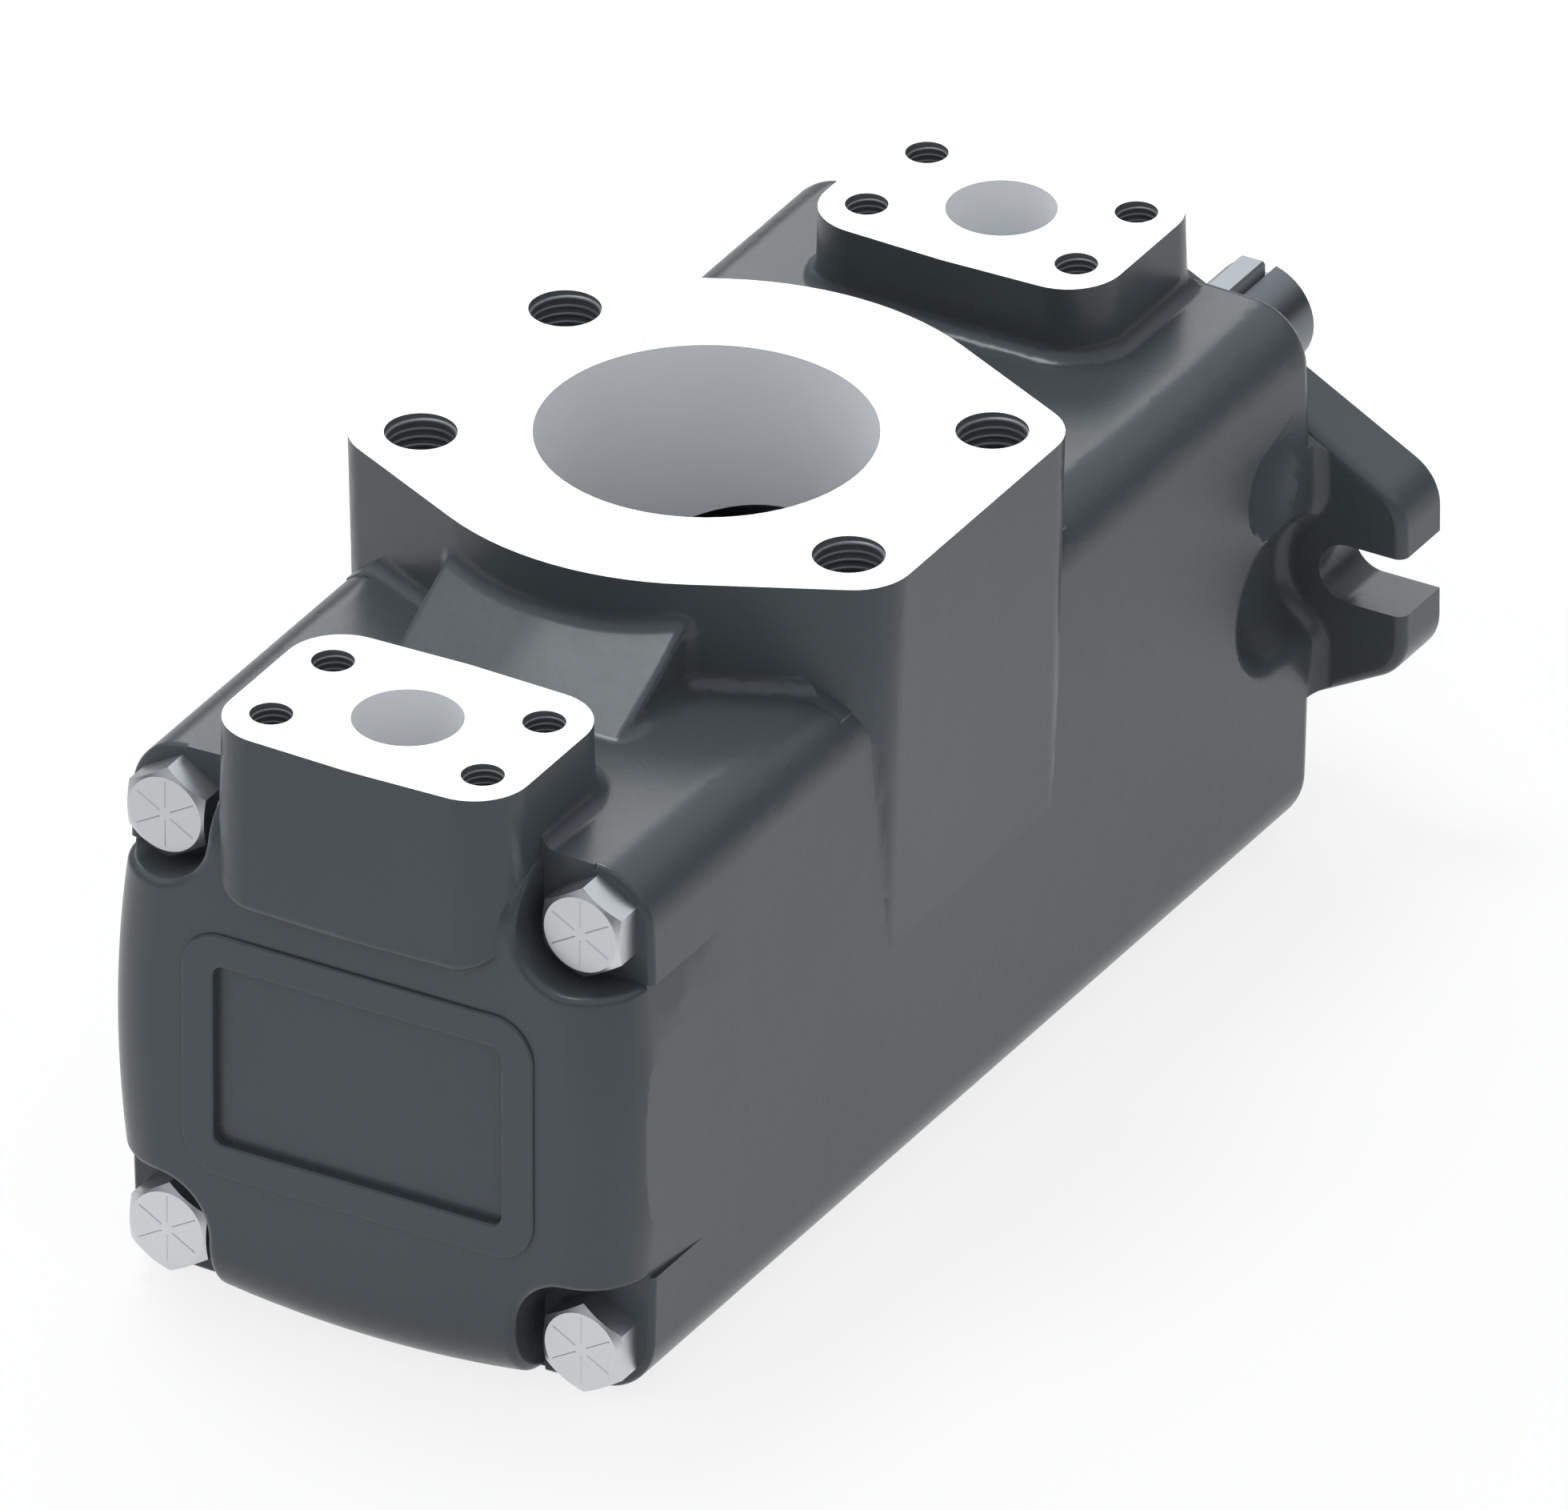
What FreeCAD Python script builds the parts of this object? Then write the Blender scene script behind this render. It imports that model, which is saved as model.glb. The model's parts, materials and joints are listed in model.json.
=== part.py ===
import FreeCAD, Part
import math
import os
import re
import Sketcher
from FreeCAD import Placement, Rotation, Vector

# Hydraulic double vane pump: a cast housing and end cap around two vane cartridges on one shaft.
# The origin is on the shaft axis at the mounting face. The shaft points along +Y, the ports along +Z.
# A depth is counted from the mounting face towards the end cap, along -Y.

sizes_mm = {
    # mounting flange with two open slots, and its pilot
    "flange_thickness": 16.0,
    "flange_width": 174.0,
    "flange_round_radius": 59.4,
    "flange_side_angle": 28.3,
    "flange_ear_radius": 11.5,
    "flange_edge_radius": 2.5,
    "slot_spacing": 146.0,
    "slot_width": 14.3,
    "pilot_diameter": 101.6,
    "pilot_length": 9.5,
    "scoop_radius": 17.2,
    "scoop_depth": 51.0,
    "scoop_lip_radius": 6.0,
    "dent_radius": 28.0,
    "dent_sink": 2.8,
    "dent_depth": 34.5,
    "dent_height": 28.5,
    "root_radius": 4.0,
    "root_inset": 1.0,
    # cast body: a square with crowned sides and round corners
    "body_half_width": 65.5,
    "body_crown_radius": 1500.0,
    "body_corner_radius": 14.0,
    "body_front_radius": 5.0,
    # end cap with a pillowed rear face and four bolt notches
    "cap_seat_thickness": 39.4,
    "cap_crown_radius": 260.0,
    "cap_crown_rise": 0.65,
    "cap_rear_radius": 15.0,
    "notch_inner_width": 38.0,
    "notch_top_height": 38.5,
    "notch_bottom_height": 34.0,
    "notch_radius": 13.5,
    "notch_edge_radius": 2.0,
    "seat_edge_radius": 1.5,
    "cap_draft": 3.2,
    "panel_width": 87.4,
    "panel_height": 60.0,
    "panel_corner_radius": 10.0,
    "panel_border": 8.0,
    "panel_raise": 0.8,
    "panel_recess": 1.6,
    "panel_edge_radius": 0.6,
    # suction flange on top
    "suction_height": 90.1,
    "suction_bore": 75.0,
    "suction_bolt_across": 106.4,
    "suction_bolt_along": 61.9,
    "suction_bolt_hole": 16.0,
    "suction_bolt_hole_length": 30.0,
    "suction_half_width": 68.7,
    "suction_foot_half_width": 65.6,
    "suction_foot_height": -2.0,
    "suction_round_radius": 66.5,
    "suction_side_angle": 26.0,
    "suction_corner_radius": 13.6,
    # two pressure flanges on top, at equal distances from the suction flange; the leads are from the
    # mounting flange's rear face to the front one, and from the housing's joint to the rear one
    "port_lead": 24.0,
    "joint_lead": 32.0,
    "port_distance": 127.7,
    "port_height": 82.6,
    "port_bore": 24.5,
    "port_bolt_across": 52.4,
    "port_bolt_along": 26.2,
    "port_bolt_hole": 9.5,
    "port_bolt_hole_length": 20.0,
    "port_half_width": 36.8,
    "port_half_length": 26.3,
    "port_side_angle": 1.8,
    "port_corner_radius": 13.0,
    "port_draft": 1.5,
    "port_foot_height": 40.0,
    "shield_overhang": 4.7,
    "shield_margin": 3.0,
    "shield_corner_radius": 15.0,
    "shield_edge_radius": 2.5,
    # fillet round the foot of every boss and ramp, and how it runs out over the body's corners
    "foot_radius": 4.2,
    "foot_fade": 11.0,
    # ramps between the suction flange and the pressure flanges
    "ramp_half_width": 30.0,
    "ramp_reach": 92.5,
    "ramp_top_drop": 6.8,
    "ramp_ridge": 1.5,
    "ramp_foot_drop": 2.5,
    "ramp_overlap": 4.0,
    "ramp_edge_radius": 2.0,
    "ramp_root_radius": 5.0,
    # cap bolts
    "cap_bolt_spacing": 103.0,
    "cap_bolt_diameter": 12.7,
    "cap_bolt_length": 63.5,
    "cap_bolt_head_width": 19.05,
    "cap_bolt_head_height": 7.94,
    "cap_bolt_face_diameter": 17.9,
    "cap_bolt_chamfer_angle": 32.0,
    "cap_bolt_hole": 13.5,
    "thread_clearance": 0.05,
    "bolt_hole_spare": 3.0,
    # bores inside the housing
    "chamber_radius": 34.0,
    "main_bore_radius": 52.0,
    "cartridge_depth": 72.0,
    "bearing_wall": 7.5,
    "cap_seal_radius": 55.8,
    "seal_ring_section": 2.6,
    # shaft bearing, retaining rings and shaft seal
    "bearing_depth": 4.0,
    "bearing_width": 16.0,
    "bearing_outer_diameter": 62.0,
    "bearing_bore": 30.0,
    "bearing_outer_wall": 4.7,
    "bearing_inner_wall": 4.7,
    "ball_diameter": 9.525,
    "ball_count": 9,
    "race_clearance": 0.15,
    "cage_wall": 3.4,
    "cage_width": 12.0,
    "retaining_ring_width": 2.0,
    "retaining_ring_groove": 1.5,
    "retaining_ring_height": 4.0,
    "shaft_ring_width": 1.5,
    "shaft_ring_groove": 0.7,
    "shaft_ring_height": 2.6,
    "shaft_ring_gap_angle": 30.0,
    "seal_recess": 1.0,
    "seal_width": 10.0,
    "seal_shell": 1.2,
    "seal_lip_clearance": 0.1,
    # drive shaft
    "shaft_diameter": 25.4,
    "shaft_reach": 76.3,
    "shaft_shoulder_diameter": 34.0,
    "shaft_shoulder_length": 5.0,
    "shaft_middle_diameter": 27.0,
    "shaft_rear_diameter": 24.0,
    "shaft_journal_diameter": 20.0,
    "shaft_chamfer": 1.0,
    "key_width": 6.35,
    "key_length": 38.0,
    "key_inset": 5.9,
    "key_proud": 3.1,
    "key_chamfer": 0.6,
    "spline_major_diameter": 26.0,
    "rear_spline_major_diameter": 23.4,
    "spline_tooth_height": 1.2,
    "spline_teeth": 12,
    "spline_tooth_width": 3.2,
    "rear_spline_tooth_width": 2.8,
    "spline_clearance": 0.1,
    "spline_runout": 4.0,
    # cartridges
    "port_plate_thickness": 18.0,
    "plate_clearance": 0.1,
    "hub_radius": 24.9,
    "hub_bore_radius": 17.6,
    "hub_socket_clearance": 0.1,
    "hub_end_gap": 2.0,
    "hub_seal_section": 2.2,
    "hub_seal_inset": 4.0,
    "plate_seal_radius": 36.2,
    "kidney_inner_radius": 27.0,
    "kidney_outer_radius": 33.0,
    "window_height": 8.0,
    "port_angle": 54.0,
    "cam_outer_radius": 48.0,
    "cam_width": 32.0,
    "cam_small_radius": 30.3,
    "cam_large_radius": 34.1,
    "cam_dwell_angle": 36.0,
    "side_plate_thickness": 7.5,
    "side_plate_radius": 46.5,
    "side_plate_bore_radius": 17.0,
    "rotor_radius": 29.8,
    "rotor_side_clearance": 0.03,
    "vane_count": 12,
    "vane_thickness": 2.0,
    "vane_height": 10.5,
    "vane_slot_clearance": 0.03,
    "vane_tip_inset": 0.1,
    "vane_tip_chamfer": 0.4,
    "vane_tip_groove": 0.35,
    "vane_phase_angle": 15.0,
    "pin_diameter": 3.2,
    "pin_length": 3.4,
    "pin_clearance": 0.05,
    "pin_tail_clearance": 0.3,
    "screw_radius": 41.5,
    "screw_diameter": 6.0,
    "screw_head_diameter": 10.0,
    "screw_head_height": 6.0,
    "screw_socket_width": 5.0,
    "screw_socket_depth": 3.0,
    "screw_hole": 6.6,
    "screw_engagement": 12.0,
    "dowel_diameter": 6.0,
    "dowel_clearance": 0.02,
    "dowel_engagement": 8.0,
    # rear end of the shaft
    "bush_outer_radius": 13.0,
    "bush_length": 18.0,
    "bush_clearance": 0.03,
    "bush_seat_inset": 13.4,
    "rear_hub_radius": 24.0,
    "rear_hub_length": 16.6,
    "rear_bore_radius": 12.3,
    "journal_end_inset": 4.0,
    "journal_pocket_inset": 9.0,
    "journal_pocket_radius": 11.0,
}

# depths and lengths that follow from those sizes
derived_mm = {
    "suction_depth": "flange_thickness + port_lead + port_distance",
    "front_port_depth": "suction_depth - port_distance",
    "rear_port_depth": "suction_depth + port_distance",
    "housing_length": "rear_port_depth - joint_lead",
    "cap_length": "joint_lead - shield_overhang + port_half_length",
}
cells = sizes_mm | derived_mm

doc = FreeCAD.newDocument("VanePump")
sheet = doc.addObject("Spreadsheet::Sheet", "Sizes")
for row, (alias, size) in enumerate(cells.items(), start=1):
    sheet.set(f"A{row}", alias)
    sheet.set(f"B{row}", f"={size}")
    sheet.setAlias(f"B{row}", alias)
doc.recompute()


def formula(text):
    """The text as an expression, with each size's name bound to its cell."""
    return re.sub(r"[a-z_]+", lambda word: cell_name(word.group()), str(text))


def cell_name(word):
    return "Sizes." + word if word in cells else word


def value(text):
    """What such a text comes to, as a plain number."""
    return float(sheet.evalExpression(formula(text)))


def bind(piece, **properties):
    for name, text in properties.items():
        piece.setExpression(name.replace("__", "."), formula(text))


# Depths and radii that several pieces share

front = "(0 - pilot_length)"
chamber_start = "(bearing_depth + bearing_width + bearing_wall)"
rear_chamber_end = "(rear_port_depth + port_bore / 2)"
cap_end = "(housing_length + cap_length)"
seat_depth = "(housing_length + cap_seat_thickness)"
bearing_pitch_radius = "((bearing_outer_diameter + bearing_bore) / 4)"


# Sketches and bodies


def start_body(label):
    body = doc.addObject("PartDesign::Body", label + "_body")
    body.Label = label
    return body


def start_sketch(body, role, name, offset="0", turn=0):
    sketch = body.newObject("Sketcher::SketchObject", f"{body.Name}_{name}")
    plane = next(item for item in body.Origin.OriginFeatures if item.Role == role)
    sketch.AttachmentSupport = (plane, [""])
    sketch.MapMode = "FlatFace"
    sketch.AttachmentOffset = Placement(Vector(0, 0, 0), Rotation(Vector(0, 0, 1), turn))
    sketch.setExpression("AttachmentOffset.Base.z", formula(offset))
    return sketch


def place_point(sketch, line, end, x, y):
    for kind, text in (("DistanceX", x), ("DistanceY", y)):
        index = sketch.addConstraint(Sketcher.Constraint(kind, -1, 1, line, end, value(text)))
        sketch.setExpression(f"Constraints[{index}]", formula(text))


def draw_polygon(sketch, corners):
    first = sketch.GeometryCount
    points = [Vector(value(x), value(y), 0) for x, y in corners]
    count = len(points)
    for i, point in enumerate(points):
        sketch.addGeometry(Part.LineSegment(point, points[(i + 1) % count]), False)
    for i in range(count):
        sketch.addConstraint(Sketcher.Constraint("Coincident", first + i, 2, first + (i + 1) % count, 1))
    for i, (x, y) in enumerate(corners):
        place_point(sketch, first + i, 1, x, y)


def draw_box(sketch, left, bottom, right, top):
    draw_polygon(sketch, [(left, bottom), (right, bottom), (right, top), (left, top)])


def draw_circle(sketch, radius, x="0", y="0"):
    circle = Part.Circle(Vector(value(x), value(y), 0), Vector(0, 0, 1), value(radius))
    line = sketch.addGeometry(circle, False)
    place_point(sketch, line, 3, x, y)
    index = sketch.addConstraint(Sketcher.Constraint("Radius", line, value(radius)))
    sketch.setExpression(f"Constraints[{index}]", formula(radius))


def revolve_profile(body, corners):
    """Turns a profile of (radius, depth) corners about the shaft axis."""
    sketch = start_sketch(body, "XY_Plane", "profile")
    draw_polygon(sketch, [(radius, f"0 - {depth}") for radius, depth in corners])
    feature = body.newObject("PartDesign::Revolution", body.Name + "_turned")
    feature.Profile = sketch
    feature.ReferenceAxis = (sketch, ["V_Axis"])
    feature.Angle = 360
    sketch.Visibility = False
    return feature


def turned_body(label, corners):
    body = start_body(label)
    revolve_profile(body, corners)
    return body


def extrude(body, kind, sketch, length, reverse=False):
    """Adds a Pad or Pocket of that length on the sketch."""
    feature = body.newObject("PartDesign::" + kind, f"{sketch.Name}_{kind}")
    feature.Profile = sketch
    feature.setExpression("Length", formula(length))
    feature.Reversed = reverse
    return feature


def polar_copies(body, feature, sketch, count):
    pattern = body.newObject("PartDesign::PolarPattern", feature.Name + "_copies")
    pattern.Originals = [feature]
    pattern.Axis = (sketch, ["N_Axis"])
    pattern.Angle = 360
    pattern.setExpression("Occurrences", formula(count))
    body.Tip = pattern
    return pattern


# Primitives along the shaft axis

along_depth = Rotation(Vector(1, 0, 0), 90)


def cylinder(name, radius, depth, length, angle=360, turn=0, x="0", z="0"):
    """A cylinder, or a sector of one, that runs towards the end cap from a depth."""
    piece = doc.addObject("Part::Cylinder", name)
    piece.Placement = Placement(Vector(0, 0, 0), along_depth.multiply(Rotation(Vector(0, 0, 1), turn)))
    bind(piece, Radius=radius, Height=length, Angle=angle)
    bind(piece, Placement__Base__x=x, Placement__Base__y=f"0 - ({depth})", Placement__Base__z=z)
    return piece


def cut(name, base, *tools):
    piece = doc.addObject("Part::Cut", name)
    piece.Base = base
    piece.Tool = tools[0] if len(tools) == 1 else group(name + "_tools", tools)
    return piece


def group(name, pieces):
    piece = doc.addObject("Part::Compound", name)
    piece.Links = list(pieces)
    return piece


def named(piece, label):
    piece.Label = label
    return piece


def torus(name, ring_radius, section_radius, depth):
    piece = doc.addObject("Part::Torus", name)
    piece.Placement = Placement(Vector(0, 0, 0), along_depth)
    bind(piece, Radius1=ring_radius, Radius2=section_radius, Placement__Base__y=f"0 - ({depth})")
    return piece


def seal_ring(label, ring_radius, section, depth):
    """A square-section seal ring, its middle at a depth."""
    inner, outer = f"{ring_radius} - {section} / 2", f"{ring_radius} + {section} / 2"
    near, far = f"({depth} - {section} / 2)", f"({depth} + {section} / 2)"
    return turned_body(label, [(inner, near), (outer, near), (outer, far), (inner, far)])


# Castings: outlines, drafted bosses and the crowned square section


def rounded_outline(corners, radii):
    """A closed wire in the XY plane with each corner rounded by its radius."""
    count = len(corners)
    arcs = []
    for i, corner in enumerate(corners):
        back = (corners[i - 1] - corner).normalize()
        ahead = (corners[(i + 1) % count] - corner).normalize()
        half = back.getAngle(ahead) / 2
        reach = radii[i] / math.tan(half)
        middle = (back + ahead).normalize() * (radii[i] / math.sin(half) - radii[i])
        arcs.append((corner + back * reach, corner + middle, corner + ahead * reach))
    edges = []
    for i, (begin, middle, end) in enumerate(arcs):
        if radii[i] > 0:
            edges.append(Part.Arc(begin, middle, end).toShape())
        following = arcs[(i + 1) % count][0]
        if end.distanceToPoint(following) > 1e-6:
            edges.append(Part.LineSegment(end, following).toShape())
    return Part.Wire(edges)


def six_sided_outline(half_width, half_length, side_angle, end_radius, corner_radius):
    """A rectangle across X whose long sides are kinked outward at their middle."""
    side = half_length - half_width * math.tan(math.radians(side_angle))
    corners = [
        Vector(0, -half_length, 0), Vector(half_width, -side, 0), Vector(half_width, side, 0),
        Vector(0, half_length, 0), Vector(-half_width, side, 0), Vector(-half_width, -side, 0),
    ]
    radii = [end_radius, corner_radius, corner_radius, end_radius, corner_radius, corner_radius]
    return rounded_outline(corners, radii)


def flange_outline():
    """The mounting flange seen along the shaft: two straight-sided ears on a round middle."""
    angle = math.radians(value("flange_side_angle"))
    apex = value("flange_round_radius") / math.cos(angle)
    half = value("flange_width / 2")
    return six_sided_outline(half, apex, value("flange_side_angle"),
                             value("flange_round_radius"), value("flange_ear_radius"))


def suction_outline(half_width):
    angle = value("suction_side_angle")
    apex = value("suction_round_radius") / math.cos(math.radians(angle))
    return six_sided_outline(half_width, apex, angle, value("suction_round_radius"),
                             value("suction_corner_radius"))


def port_outline(grow=0.0):
    return six_sided_outline(value("port_half_width") + grow, value("port_half_length") + grow,
                             value("port_side_angle"), 0, value("port_corner_radius") + grow)


def raise_wire(wire, depth, height):
    """Moves a plan outline to its port's depth and height."""
    moved = wire.copy()
    moved.translate(Vector(0, -depth, height))
    return moved


def stand_wire(wire, depth):
    """Stands an outline up across the shaft axis at a depth."""
    moved = wire.copy()
    moved.rotate(Vector(0, 0, 0), Vector(1, 0, 0), 90)
    moved.translate(Vector(0, -depth, 0))
    return moved


def prism_along_depth(wire, length):
    return Part.Face(wire).extrude(Vector(0, -length, 0))


def round_bar(radius, depth, length, x=0.0, z=0.0):
    return Part.makeCylinder(radius, length, Vector(x, -depth, z), Vector(0, -1, 0))


def drill(radius, x, depth, top, length):
    """A round hole downward from a port face."""
    return Part.makeCylinder(radius, length, Vector(x, -depth, top), Vector(0, 0, -1))


def body_outline():
    """The crowned square section, with sharp corners."""
    half = value("body_half_width")
    crown = value("body_crown_radius")
    offset = crown - half
    corner = (math.sqrt(2 * crown ** 2 - offset ** 2) - offset) / 2
    sides = [
        ((corner, -corner), (half, 0), (corner, corner)),
        ((corner, corner), (0, half), (-corner, corner)),
        ((-corner, corner), (-half, 0), (-corner, -corner)),
        ((-corner, -corner), (0, -half), (corner, -corner)),
    ]
    arcs = [Part.Arc(*(Vector(x, z, 0) for x, z in side)).toShape() for side in sides]
    return Part.Wire(arcs)


def body_block(depth, length):
    """A length of the cast body with its four long corners rounded."""
    block = prism_along_depth(stand_wire(body_outline(), depth), length)
    long_edges = [edge for edge in block.Edges
                  if abs(edge.Vertexes[0].Y - edge.Vertexes[-1].Y) > length / 2]
    return block.makeFillet(value("body_corner_radius"), long_edges)


def edges_at_depth(shape, depth):
    return [edge for edge in shape.Edges
            if all(abs(vertex.Y + depth) < 1e-4 for vertex in edge.Vertexes)]


def middle(edge):
    first, last = edge.ParameterRange
    return edge.valueAt((first + last) / 2)


def port_boss(depth, foot):
    """A pressure flange's boss, drafted outward from its face down to a foot height."""
    top = value("port_height")
    grow = (top - foot) * math.tan(math.radians(value("port_draft")))
    upper = raise_wire(port_outline(), depth, top)
    lower = raise_wire(port_outline(grow), depth, foot)
    return Part.makeLoft([upper, lower], True, True)


def crowned_slab(near, far):
    """The body's crowned top between two depths, run out past the body's corners."""
    crown = value("body_crown_radius")
    half = value("body_half_width")
    disc = round_bar(crown, near, far - near, 0, half - crown)
    return disc.common(Part.makeBox(4 * half, far - near, half, Vector(-2 * half, -far, half / 2)))


def on_crown(edge):
    crown = value("body_crown_radius")
    axis = value("body_half_width") - crown
    points = [middle(edge)] + [vertex.Point for vertex in edge.Vertexes]
    return all(abs(math.hypot(point.x, point.z - axis) - crown) < 0.02 for point in points)


def with_foot(boss, near, far):
    """A boss on a stretch of the crowned top, with a fillet all round its foot."""
    joined = crowned_slab(near, far).fuse(boss)
    border = 1.9 * value("body_half_width")
    foot = [edge for edge in joined.Edges
            if on_crown(edge) and abs(middle(edge).x) < border and near < -middle(edge).y < far]
    return joined.makeFillet(value("foot_radius"), foot)


def depth_box(near, far, half_width, bottom, top):
    return Part.makeBox(2 * half_width, far - near, top - bottom, Vector(-half_width, -far, bottom))


def bolt_places(across, along):
    return [(x * across / 2, y * along / 2) for x in (-1, 1) for y in (-1, 1)]


def port_holes(depth, bore_length):
    """The bore and the four bolt holes of a pressure flange."""
    top = value("port_height")
    holes = [drill(value("port_bore / 2"), 0, depth, top, bore_length)]
    for x, y in bolt_places(value("port_bolt_across"), value("port_bolt_along")):
        holes.append(drill(value("port_bolt_hole / 2"), x, depth + y, top, value("port_bolt_hole_length")))
    return holes


def ramp(towards_cap):
    """A tongue that rises from the body's top to the suction flange's wall, ridged along its middle."""
    half = value("ramp_half_width")
    foot = value("body_half_width - ramp_foot_drop")
    base = foot - value("body_corner_radius") / 2
    far = value("ramp_reach")
    near = value("suction_round_radius * cos(suction_side_angle) - ramp_overlap")
    top = value("suction_height - ramp_top_drop")
    sign = 1 if towards_cap else -1

    def section(away, height):
        y = -(value("suction_depth") + sign * away)
        corners = [(-half, base), (half, base), (half, height), (0, height + value("ramp_ridge")),
                   (-half, height), (-half, base)]
        return Part.makePolygon([Vector(x, y, z) for x, z in corners])
    tongue = Part.makeLoft([section(far, foot), section(near, top)], True, True)
    long_edges = [edge for edge in tongue.Edges
                  if abs(abs(middle(edge).x) - half) < 1e-3
                  and middle(edge).z > foot and edge.Length > top - base]
    return tongue.makeFillet(value("ramp_edge_radius"), long_edges)


def flange_solid():
    """The mounting flange with its rear edge rounded and its two slots open to the side."""
    thickness = value("flange_thickness")
    flange = prism_along_depth(stand_wire(flange_outline(), 0), thickness)
    flange = flange.makeFillet(value("flange_edge_radius"), edges_at_depth(flange, thickness))
    return flange.cut(slots(thickness))


def slots(length):
    width = value("slot_width")
    cuts = []
    for side in (-1, 1):
        x = side * value("slot_spacing / 2")
        outer = side * value("flange_width")
        cuts.append(round_bar(width / 2, 0, length, x))
        low, high = min(x, outer), max(x, outer)
        cuts.append(Part.makeBox(high - low, length, width, Vector(low, -length, -width / 2)))
    return Part.makeCompound(cuts)


def scooped(block):
    """Cuts the wrench room behind each slot: a round trough with a ball end and soft lips."""
    radius = value("scoop_radius")
    straight = value("scoop_depth") - radius
    for side in (-1, 1):
        x = side * value("slot_spacing / 2")
        block = block.cut(round_bar(radius, 0, straight, x))
        block = block.cut(Part.makeSphere(radius, Vector(x, -straight, 0)))
    half = value("body_half_width")
    lips = [edge for edge in block.Edges
            if abs(abs(middle(edge).x) - half) < 1 and abs(middle(edge).z) < radius
            and 0 < -middle(edge).y < value("scoop_depth")]
    return block.makeFillet(value("scoop_lip_radius"), lips)


def flange_root(block):
    """Where the body meets the flange: the block's section with a fillet towards the flange's rear face."""
    start = value("flange_thickness")
    reach = value("flange_width")
    joined = block.fuse(depth_box(0, start, reach, -reach, reach))
    ring = [edge for edge in edges_at_depth(joined, start) if middle(edge).Length < reach]
    filleted = joined.makeFillet(value("root_radius"), ring)
    outline = stand_wire(flange_outline(), start).makeOffset2D(-value("root_inset"))
    return filleted.common(prism_along_depth(outline, value("body_front_radius")))


def dents():
    """A shallow round hollow in each side, above the scoop."""
    radius = value("dent_radius")
    x = value("body_half_width - dent_sink") + radius
    depth = value("dent_depth")
    height = value("dent_height")
    return [Part.makeSphere(radius, Vector(side * x, -depth, height)) for side in (-1, 1)]


def suction_boss():
    """The suction flange's boss with its two ramps."""
    depth = value("suction_depth")
    boss = Part.makeLoft([
        raise_wire(suction_outline(value("suction_half_width")), depth, value("suction_height")),
        raise_wire(suction_outline(value("suction_foot_half_width")), depth, value("suction_foot_height")),
    ], True, True)
    boss = boss.fuse([ramp(True), ramp(False)])
    wall = value("suction_round_radius")
    root = value("ramp_root_radius")
    width = value("ramp_half_width") + root / 2
    bottom = value("body_half_width - body_corner_radius / 2")
    top = value("suction_height - ramp_ridge")
    joins = [edge for edge in boss.Edges
             if abs(middle(edge).x) < width and bottom < middle(edge).z < top
             and all(abs(math.hypot(end.X, end.Y + depth) - wall) < root / 2 for end in edge.Vertexes)]
    return boss.makeFillet(root, joins)


def suction_foot(boss):
    """The fillet round the suction boss, faded out over the body's corners."""
    depth = value("suction_depth")
    half = value("body_half_width")
    flat = value("body_half_width - body_corner_radius - 1")
    top = value("suction_height")
    filleted = with_foot(boss, depth - 2 * half, depth + 2 * half)
    far = value("flange_thickness + housing_length")
    near = value("flange_thickness + body_front_radius")
    middle_part = filleted.common(depth_box(near, far, flat, half / 2, top))
    grown = value("foot_radius")
    angle = math.radians(value("suction_side_angle"))
    apex = (value("suction_round_radius") + grown) / math.cos(angle)
    outline = six_sided_outline(value("suction_half_width") + grown, apex, value("suction_side_angle"),
                                value("suction_round_radius") + grown, value("suction_corner_radius") + grown)
    footprint = Part.Face(raise_wire(outline, depth, half / 2)).extrude(Vector(0, 0, half))
    toe = flat + value("foot_fade")
    low = half - value("foot_fade") / 2
    fade = Part.makePolygon([Vector(x, 0, z) for x, z in [
        (-flat, top), (flat, top), (flat, half + grown), (toe, low), (toe, half / 2),
        (-toe, half / 2), (-toe, low), (-flat, half + grown), (-flat, top)]])
    return [middle_part, filleted.common(footprint).common(prism_along_depth(fade, far))]


def housing_outside():
    start = value("flange_thickness")
    joint = value("housing_length")
    front_block = body_block(start, joint - start)
    front_block = front_block.makeFillet(value("body_front_radius"), edges_at_depth(front_block, start))
    block = scooped(body_block(0, joint))
    body = block.common(front_block).fuse(flange_root(block)).cut(dents())
    pilot = round_bar(value("pilot_diameter / 2"), -value("pilot_length"), value("pilot_length"))
    boss = suction_boss()
    port_depth = value("front_port_depth")
    port = port_boss(port_depth, value("port_foot_height"))
    foot = with_foot(port, -joint, joint).common(depth_box(
        value("flange_thickness + body_front_radius"), port_depth + value("port_half_width") * 2,
        value("body_half_width - body_corner_radius - 1"), value("port_foot_height"), value("port_height")))
    upper = boss.fuse(suction_foot(boss) + [port, foot]).common(depth_box(0, joint, joint, -joint, joint))
    return body.fuse([upper, flange_solid(), pilot]).removeSplitter()


def ring_groove(radius, section, depth):
    """A groove for a seal ring, cut into a face from a depth."""
    outer = round_bar(radius + section / 2, depth, section)
    return outer.cut(round_bar(radius - section / 2, depth, section))


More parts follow.
